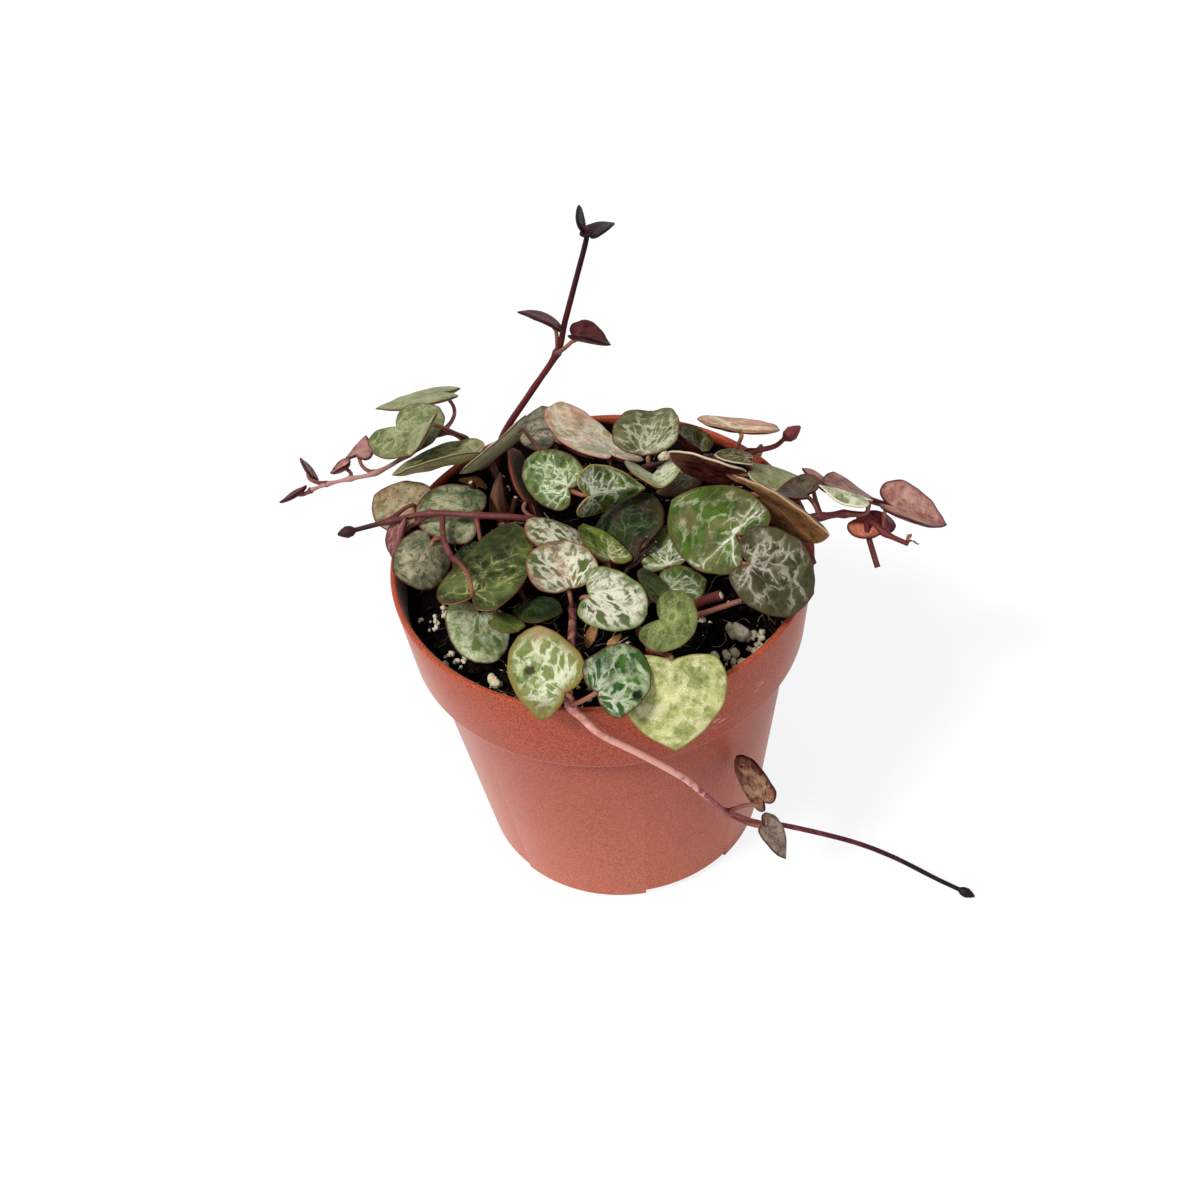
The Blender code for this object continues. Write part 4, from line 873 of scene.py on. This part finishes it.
def grow_vein(pieces, draw, place, heading, girth, reach, forks, depth):
    """Add one vein and its branches as straight pieces: x0, y0, x1, y1, half width."""
    gone, side = 0.0, draw.choice((-1, 1))
    while gone < reach:
        heading += draw.uniform(-VEIN_WANDER, VEIN_WANDER)
        if draw.random() < KINK_CHANCE:
            heading += draw.choice((-VEIN_KINK, VEIN_KINK))
        x, y = place
        after = (x + VEIN_STEP * math.sin(heading), y + VEIN_STEP * math.cos(heading))
        thin = girth * (1 - VEIN_TAPER * gone / reach)
        pieces.append((*place, *after, thin))
        place = after
        gone += VEIN_STEP
        if depth and gone > VEIN_BARE and draw.random() < forks:
            side = -side
            grow_vein(pieces, draw, place, heading + side * draw.uniform(*BRANCH_TURN),
                      thin * BRANCH_GIRTH, (reach - gone) * draw.uniform(*BRANCH_REACH),
                      forks, depth - 1)


def vein_distance(spots, look, leaf):
    """How far each spot of a blade lies outside its nearest vein."""
    draw = random.Random(leaf.name + "_veins")
    pieces = []
    for number in range(look["mains"]):
        heading = VEIN_FAN * ((number + 0.5) / look["mains"] - 0.5)
        heading += draw.uniform(-FAN_WANDER, FAN_WANDER)
        reach = leaf.length * (VEIN_REACH - SIDE_LOSS * abs(heading))
        grow_vein(pieces, draw, (0.0, VEIN_START * leaf.length), heading, look["girth"],
                  reach * draw.uniform(*VEIN_LENGTHS), look["forks"], VEIN_ORDERS)
    pieces = np.array(pieces)
    start, along = pieces[:, :2], pieces[:, 2:4] - pieces[:, :2]
    share = ((spots[:, None] - start) * along).sum(2) / (along ** 2).sum(1)
    foot = start + share.clip(0, 1)[..., None] * along
    return (np.linalg.norm(spots[:, None] - foot, axis=2) - pieces[:, 4]).min(1)


def add_blade(piece, leaf):
    """Add a blade: a grid of rings round its middle, with an upper and an under side."""
    wobble = random.Random(leaf.name)
    rim = np.array(leaf.outline(wobble))
    count, rings = len(rim), max(9, round(RING_FINENESS * leaf.length))
    thickness = BLADE_THIN + BLADE_THICKENING * leaf.length
    wave, phase = wobble.uniform(*SLOW_HEIGHT) * leaf.length, wobble.uniform(0, math.tau)
    upper_look, under_look = LOOKS[leaf.name]

    share = np.repeat(1 - (1 - np.arange(1, rings + 1) / rings) ** RING_CROWDING, count)
    centre = np.array((0.0, BLADE_CENTRE))
    grid = centre + (np.tile(rim, (rings, 1)) - centre) * share[:, None]
    grid = np.vstack((centre, grid)) * (leaf.width / 2, leaf.length)
    share = np.concatenate(((0.0,), share))
    around = np.concatenate(((0.0,), np.tile(math.tau * np.arange(count) / count, rings)))
    x, y = grid.T
    radius = np.linalg.norm(grid - grid[0], axis=1)
    edge = np.where(share > 0, radius / np.maximum(share, 0.01) * (1 - share),
                    leaf.width / 2)
    vein = vein_distance(grid, upper_look, leaf)

    seed = Vector((wobble.uniform(0, 90), wobble.uniform(0, 90), 0))
    lumps = np.array([noise.noise(Vector((px, py, 0)) * LUMP_FREQUENCY + seed)
                      for px, py in grid])
    middle = (leaf.middle(x, y) + wave * share ** 3 * np.sin(SLOW_WAVES * around + phase)
              + LUMP_HEIGHT * lumps * leaf.length)
    depth = thickness * (1 - share ** RIM_FULLNESS) ** RIM_ROUNDING
    swell = VEIN_RELIEF * vein.clip(0, VEIN_SLOPE) * np.minimum(edge, 1)
    right, tip, up = (np.array(way) for way in (leaf.right, leaf.tip, leaf.up))
    flat = np.array(leaf.place) + x[:, None] * right + y[:, None] * tip
    upper = flat + (middle + UPPER_SHARE * depth + swell)[:, None] * up
    lower = flat + (middle - (1 - UPPER_SHARE) * depth)[:, None] * up
    behind = y + FAN_BACK
    marks = np.column_stack((grid, np.arctan2(x, behind), np.hypot(x, behind), edge, vein,
                             np.full(len(grid), 0.5))).tolist()

    # both sides share the outermost ring
    inner, total, start = len(grid) - count, len(grid), len(piece.points)
    over = [[0], *(list(range(1 + ring * count, 1 + (ring + 1) * count))
                   for ring in range(rings))]
    beneath = [[total + corner for corner in ring] for ring in over[:-1]] + over[-1:]
    piece.add([Vector(p) for p in np.vstack((upper, lower[:inner]))], ring_faces(over),
              skin_material(f"{leaf.name}_upper", upper_look), marks=marks + marks[:inner])
    piece.paint(turned_over(ring_faces(beneath)),
                skin_material(f"{leaf.name}_under", under_look), start)


def add_stalk(piece, start, leaf, skin):
    """A leaf's stalk, which widens where it leaves the stem and runs on into the blade."""
    start = Vector(start)
    along, under = leaf.approach
    if leaf.young:
        end = leaf.place + YOUNG_REACH * leaf.length * leaf.tip - YOUNG_DEPTH * leaf.up
    else:
        end = (leaf.place - STALK_BACK * leaf.tip
               + (STALK_ABOVE if under < 0 else -STALK_BELOW) * leaf.up)
    final = (along * leaf.tip + under * leaf.up).normalized() * (end - start).length
    line = [bend(start, end - final * STALK_BEND, end, step / STALK_STEPS)
            for step in range(STALK_STEPS + 1)]
    if not leaf.young:
        into = STALK_SEAT * leaf.length
        seat = (leaf.place + into * leaf.tip
                + (float(leaf.middle(0, into)) - STALK_SUNK) * leaf.up)
        line += [end * 0.45 + seat * 0.55, seat]
    shares = [index / (len(line) - 1) for index in range(len(line))]
    radii = [PETIOLE_RADIUS * (1 - STALK_TAPER * share)
             + STALK_FOOT * math.exp(-(share / STALK_FLARE) ** 2)
             + STALK_NECK * math.exp(-((1 - share) / STALK_FLARE) ** 2) for share in shares]
    radii[-1] *= STALK_END
    low, high = STALK_SHADES
    piece.add_stem(line, radii, STALK_SIDES, skin,
                   [low + (high - low) * share for share in shares])


def build_vine(name, leaves, skins, route, side_stem=(), bud=()):
    piece = Piece()
    line = catmull(route, STEM_STEPS)
    last = len(line) - 1
    springs = [Vector(route[index]) for index in {leaf.spring for leaf in leaves}
               if index < len(route)]
    radii = []
    for index, point in enumerate(line):
        swell = sum(NODE_SWELL * math.exp(-((point - spring).length / NODE_REACH) ** 2)
                    for spring in springs)
        thin = 1 - (1 - SLENDER.get(name, 1.0)) * index / last
        radii.append((STEM_RADIUS + (TIP_RADIUS - STEM_RADIUS) * index / last + swell) * thin
                     + STEM_UNEVEN * noise.noise(point * 0.6))
    if bud:
        ahead = (line[-1] - line[-2]).normalized()
        line += [line[-1] + ahead * bud[0] * share for share, _ in BUD_SHAPE]
        radii += [bud[1] * girth for _, girth in BUD_SHAPE]
    skin = skins.get(f"stem_{name}", skins["stem"])
    piece.add_stem(line, radii, STEM_SIDES, skin,
                   [min(index / last, 1.0) for index in range(len(line))])
    if side_stem:
        side_line = catmull(side_stem, STEM_STEPS)
        piece.add_stem(side_line, [SIDE_STEM_RADIUS] * len(side_line), STEM_SIDES, skin,
                       [0.5] * len(side_line))
    joints = [*route, *side_stem]
    for leaf in leaves:
        add_stalk(piece, joints[leaf.spring], leaf, skins["stalk"])
        if leaf.young:
            add_blade(piece, leaf)
    piece.build(f"vine_{name}_looks", "stem", f"vine_{name}")


# ---- pot, soil and what lies in it -----------------------------------------------------------
def wall_radius(height):
    return BASE_RADIUS + (BODY_TOP_RADIUS - BASE_RADIUS) * height / COLLAR_FOOT_HEIGHT


def wall_inside(height):
    """A radius between the pot's outer and inner faces at this height."""
    if height < COLLAR_FOOT_HEIGHT:
        return wall_radius(height) - WALL / 2
    slope = (RIM_RADIUS - COLLAR_FOOT_RADIUS) / (POT_HEIGHT - COLLAR_FOOT_HEIGHT)
    return COLLAR_FOOT_RADIUS + slope * (height - COLLAR_FOOT_HEIGHT) - WALL * 0.6


def rounded(corners, radius, steps=4):
    """A profile whose corners are rounded, as (radius, height) points."""
    line = [Vector(corner) for corner in corners]
    out = [line[0]]
    for before, corner, after in zip(line, line[1:], line[2:]):
        reach = min(radius, (before - corner).length / 2, (after - corner).length / 2)
        start = corner + (before - corner).normalized() * reach
        end = corner + (after - corner).normalized() * reach
        out += [bend(start, corner, end, step / steps) for step in range(steps + 1)]
    return [*out, line[-1]]


def build_pot():
    corners = [
        (0, 0), (BASE_RADIUS, 0), (BODY_TOP_RADIUS, COLLAR_FOOT_HEIGHT),
        (COLLAR_FOOT_RADIUS, COLLAR_FOOT_HEIGHT), (RIM_RADIUS, POT_HEIGHT),
        (RIM_RADIUS - WALL, POT_HEIGHT), (COLLAR_FOOT_RADIUS - WALL, STEP_TOP),
        (BODY_TOP_RADIUS - WALL, STEP_FOOT),
        (wall_radius(BASE_THICKNESS) - WALL, BASE_THICKNESS), (0, BASE_THICKNESS)]
    points, faces = turned(rounded(corners, CORNER_ROUND), FINE_POT_SIDES)
    depths = [POT_HEIGHT - point.z if point.xy.length < wall_inside(point.z)
              and point.z > BASE_THICKNESS / 2 else 0.0 for point in points]
    # inner faces deep below the rim get a near-black material as painted shade
    dust_and_shade = [face for face in faces if min(depths[corner] for corner in face) > SHADE_DEPTH]
    clean = [face for face in faces if min(depths[corner] for corner in face) <= SHADE_DEPTH]
    piece = Piece()
    piece.add(points, clean, pot_material(), depths)
    piece.paint(dust_and_shade, peat_material("wall_dust", "040302", "140d0a"), 0)
    pot = piece.build("pot_looks", "pot", "pot")
    cutters = [notch_cutter(NOTCH_CENTRE + 360.0 * number / NOTCH_COUNT)
               for number in range(NOTCH_COUNT)]
    for cutter in cutters:
        cut = pot.modifiers.new("notch", "BOOLEAN")
        cut.operation = "DIFFERENCE"
        cut.object = cutter
    bpy.context.view_layer.update()
    graph = bpy.context.evaluated_depsgraph_get()
    mesh = bpy.data.meshes.new_from_object(pot.evaluated_get(graph))
    pot.modifiers.clear()
    pot.data = mesh
    for cutter in cutters:
        bpy.data.objects.remove(cutter, do_unlink=True)
    mesh.set_sharp_from_angle(angle=math.radians(SMOOTH_ANGLE))


def notch_cutter(heading):
    points = []
    inner, outer = BASE_RADIUS - NOTCH_DEPTH, BASE_RADIUS + CUT_MARGIN
    for step in range(NOTCH_STEPS + 1):
        angle = math.radians(heading + NOTCH_SWEEP * (step / NOTCH_STEPS - 0.5))
        points += [polar(radius, angle, height) * MM for radius, height in (
            (inner, -CUT_MARGIN), (outer, -CUT_MARGIN), (outer, NOTCH_HEIGHT),
            (inner, NOTCH_HEIGHT))]
    mesh = bpy.data.meshes.new("notch_cutter")
    mesh.from_pydata(points, [], turned_over(closed_faces(NOTCH_STEPS + 1, 4)))
    return put("notch_cutter", mesh)


def soil_edge():
    slope = (RIM_RADIUS - COLLAR_FOOT_RADIUS) / (POT_HEIGHT - STEP_TOP)
    return COLLAR_FOOT_RADIUS - WALL - SOIL_GAP + slope * (SOIL_EDGE_HEIGHT - STEP_TOP)


def soil_height(spot):
    """Top of the soil, with lumps and hollows."""
    spot = Vector((spot[0], spot[1], 0))
    share = min(spot.length / soil_edge(), 1.0)
    height = SOIL_EDGE_HEIGHT + (SOIL_CROWN_HEIGHT - SOIL_EDGE_HEIGHT) * (1 - share ** SOIL_DOME)
    return height + sum(lumps * noise.fractal(spot * frequency, rough, 2.0, octaves)
                        for frequency, lumps, rough, octaves in SOIL_LUMPS)


def build_soil():
    floor = BASE_THICKNESS + SOIL_GAP
    inset = WALL + SOIL_GAP
    edge = soil_edge()
    profile = [(0, floor), (wall_radius(floor) - inset, floor),
               (BODY_TOP_RADIUS - inset, STEP_FOOT + SOIL_STEP_LIFT),
               (COLLAR_FOOT_RADIUS - inset, STEP_TOP + SOIL_STEP_LIFT)]
    profile += [(edge * (1 - step / SOIL_RINGS), SOIL_EDGE_HEIGHT)
                for step in range(SOIL_RINGS + 1)]
    points, faces = turned(profile, FINE_POT_SIDES)
    for point in points:
        if point.z >= SOIL_EDGE_HEIGHT - 0.01:
            point.z = soil_height(point)
    piece = Piece()
    piece.add(points, faces, peat_material("peat", "020101", "16100d"))
    piece.build("soil_looks", "soil", "soil")


def add_lump(piece, spot, lift, size, draw, fineness, skin):
    """A rough grain on the soil: a sphere of rings pushed in and out."""
    squash = Vector(draw.uniform(GRAIN_SQUASH, 1.0) for _ in range(3))
    seed = Vector(draw.uniform(0, 90) for _ in range(3))
    turn = Matrix.Rotation(draw.uniform(0, math.tau), 3,
                           Vector((draw.random(), draw.random(), draw.random() + 0.1)))
    centre = Vector((spot[0], spot[1], soil_height(spot) + lift))
    slices = [math.pi * ring / fineness for ring in range(1, fineness)]
    ways, faces = turned([(0, 1), *((math.sin(rise), math.cos(rise)) for rise in slices),
                          (0, -1)], fineness + 3)
    points = [centre + turn @ (way * squash) * (size / 2) * (
        1 + GRAIN_ROUGHNESS * noise.noise(way * 1.6 + seed)) for way in ways]
    piece.add(points, turned_over(faces), skin)


def scatter(name, skin, count, sizes, fineness, sunk):
    """Grains all over the soil, most of them small."""
    draw = random.Random(name)
    piece = Piece()
    for _ in range(count):
        spot = spot_within(draw, soil_edge() - SOIL_MARGIN)
        size = sizes[0] + (sizes[1] - sizes[0]) * draw.random() ** 2
        add_lump(piece, spot, size * (0.5 - sunk), size, draw, fineness, skin)
    return piece


def build_grains(skin):
    """Pale grit and crumbs that lie in heaps, mostly along the pot's rim."""
    draw = random.Random("grains")
    piece = Piece()
    for place, spread, count, sizes in GRAINS:
        for _ in range(count):
            spot = Vector(place) + spot_within(draw, spread).xy
            size = draw.uniform(*sizes)
            most = soil_edge() - size / 2
            if spot.length > most:
                spot *= most / spot.length
            lift = size * 0.3 + draw.uniform(0, 0.5)
            add_lump(piece, spot, lift, size, draw, GRAIN_FINENESS, skin)
    piece.build("rim_grains", "soil")


def build_snags(skins):
    """Short cut and broken stems, each with its pith showing at the end."""
    piece = Piece()
    pith = peat_material("pith", "d6ba96", "f0dec0", 0.8)
    for route, (foot, end), skin, shade in SNAGS:
        line = catmull(route, 7)
        last = len(line) - 1
        radii = [foot + (end - foot) * index / last for index in range(last + 1)]
        piece.add_stem(line, radii, STALK_SIDES, skins[skin], [shade] * len(line))
        ahead = (line[-1] - line[-2]).normalized()
        piece.add_stem([line[-1] + ahead * length for length in PITH_LENGTH],
                       [end * width for width in PITH_WIDTH], STALK_SIDES, pith, [0.0, 0.0])
    piece.build("snags", "stem")


def build_bracts():
    """Dried, twisted bits of leaf."""
    draw = random.Random("bracts")
    piece = Piece()
    skin = peat_material("dry_bract", "8c5c38", "daae7a", 0.75)
    for place, heading, pitch, length, width in BRACTS:
        right, tip, up = leaf_axes(heading, pitch, draw.uniform(-40, 40))
        points = []
        for step in range(BRACT_STEPS + 1):
            t = step / BRACT_STEPS
            middle = Vector(place) + tip * length * t + up * BRACT_WAVE * math.sin(5 * t)
            half = width / 2 * math.sin(math.pi * (0.06 + 0.9 * t)) ** 0.7
            for side in range(BRACT_SIDES):
                way = polar(1, math.tau * side / BRACT_SIDES)
                points.append(middle + right * half * way.x
                              + up * (BRACT_THICKNESS * way.y
                                      + BRACT_CURL * half * way.x ** 2))
        piece.add(points, turned_over(closed_faces(BRACT_STEPS + 1, BRACT_SIDES)), skin)
    piece.build("dry_bracts", "stem")


def build_fibres():
    """Fine roots and peat fibres that lie across the soil."""
    draw = random.Random("fibres")
    piece = Piece()
    dark = peat_material("fibre_dark", "3a2a20", "68503c", 0.8)
    light = peat_material("fibre_light", "968468", "c4b698", 0.8)
    edge = soil_edge() - 1.0
    for number in range(FIBRE_COUNT):
        place = spot_within(draw, edge)
        heading = draw.uniform(0, math.tau)
        line = []
        for _ in range(FIBRE_POINTS):
            if place.xy.length > edge + 0.6:
                break
            place.z = soil_height(place) + draw.uniform(*FIBRE_LIFT)
            line.append(place.copy())
            heading += draw.uniform(-FIBRE_WANDER, FIBRE_WANDER)
            place = place + polar(draw.uniform(*FIBRE_STRIDE), heading)
        if len(line) < 3:
            continue
        line = catmull(line, 3)
        piece.add_stem(line, [draw.uniform(*FIBRE_RADIUS)] * len(line), FIBRE_SIDES,
                       light if number % 5 < 2 else dark, [0.0] * len(line))
    piece.build("peat_fibres", "soil")


def build_sheath():
    line = catmull(SHEATH_SPINE, 6)
    shares = [index / (len(line) - 1) for index in range(len(line))]
    radii = np.interp(shares, np.linspace(0, 1, len(SHEATH_RADII)), SHEATH_RADII)
    points, faces = tube(line, radii.tolist(), SHEATH_SIDES)
    for index, point in enumerate(points):
        ring, side = divmod(index, SHEATH_SIDES)
        ridge = math.sin(SHEATH_RIDGES * math.tau * side / SHEATH_SIDES + ring * 0.2)
        points[index] = point + (point - line[ring]) * RIDGE_HEIGHT * ridge
    piece = Piece()
    piece.add(points, faces, sheath_material(),
              [share for share in shares for _ in range(SHEATH_SIDES)])
    piece.build("dry_sheath_looks", "sheath", "dry_sheath")


# ---- stage -----------------------------------------------------------------------------------
def white_for_camera(s, lit, lamp, white, gloss):
    """Mixes in plain white where the camera sees this, and a share of it where a gloss does."""
    path = s.add("LightPath").outputs
    shine = s.times(path["Is Glossy Ray"], gloss)
    share = s.times(s.math("MAXIMUM", path["Is Camera Ray"], shine), white)
    glow = s.add(lamp, {"Color": WHITE, "Strength": STAGE_WHITE})
    return s.add("MixShader", {0: share, 1: lit.outputs[0], 2: glow.outputs[0]}).outputs[0]


def build_stage():
    mesh = bpy.data.meshes.new("floor")
    mesh.from_pydata([(x * FLOOR_HALF * MM, y * FLOOR_HALF * MM, -FLOOR_SINK * MM)
                      for x, y in ((-1, -1), (1, -1), (1, 1), (-1, 1))], [], [(0, 1, 2, 3)])
    floor = put("floor", mesh)
    s = Shader(bpy.data.materials.new("floor"))
    matt = s.add("BsdfDiffuse", {"Color": FLOOR_COLOUR})
    s.add("OutputMaterial", {0: white_for_camera(s, matt, "Emission", FLOOR_WHITE, 0.0)})
    mesh.materials.append(s.owner)

    bpy.context.scene.world = bpy.data.worlds.new("studio")
    s = Shader(bpy.context.scene.world)
    soft = s.add("Background", {"Color": WHITE, "Strength": WORLD_LIGHT})
    s.add("OutputWorld", {0: white_for_camera(s, soft, "Background", 1.0, GLOSS_WHITE)})

    light = bpy.data.lights.new("key", "SUN")
    light.energy = KEY_LIGHT
    light.angle = math.radians(KEY_ANGLE)
    key = put("key", light)
    key.rotation_euler = Vector(KEY_HEADING).to_track_quat("-Z", "Y").to_euler()


def build_camera():
    rise, roll = math.radians(CAMERA_ELEVATION), math.radians(CAMERA_ROLL)
    back = Vector((0, -math.cos(rise), math.sin(rise)))
    level, upward = Vector((1, 0, 0)), Vector((0, math.sin(rise), math.cos(rise)))
    right = math.cos(roll) * level + math.sin(roll) * upward
    up = -math.sin(roll) * level + math.cos(roll) * upward
    data = bpy.data.cameras.new("camera")
    data.lens = CAMERA_LENS
    data.sensor_width = SENSOR_WIDTH
    data.clip_start = 0.01
    camera = put("camera", data)
    turn = Matrix((right, up, back)).transposed().to_4x4()
    camera.matrix_world = Matrix.Translation(Vector(CAMERA_PLACE) * MM) @ turn
    bpy.context.scene.camera = camera
    bpy.context.scene.view_settings.view_transform = "Standard"


def main():
    build_camera()
    build_stage()
    build_pot()
    build_soil()
    crumbs = peat_material("peat_crumbs", "030202", "34261e")
    scatter("crumbs", crumbs, 1500, (0.35, 1.5), 4, 0.25).build("peat_crumbs", "soil")
    grit = peat_material("perlite", "d8c8a4", "fff8ea", 0.85)
    scatter("perlite", grit, 90, (0.3, 1.5), 7, 0.4).build("perlite", "soil")
    build_grains(grit)
    build_fibres()
    build_sheath()
    skins = {name: stem_material(name, *look) for name, look in STEM_SKINS.items()}
    build_snags(skins)
    build_bracts()
    leaves = [Leaf(row) for row in LEAF_ROWS.strip().splitlines()]
    for name, plan in VINES.items():
        build_vine(name, [leaf for leaf in leaves if leaf.vine == name], skins, **plan)
    for leaf in leaves:
        if not leaf.young:
            piece = Piece()
            add_blade(piece, leaf)
            piece.build(f"blade_{leaf.name}", "leaf", f"leaf_{leaf.name}")


main()
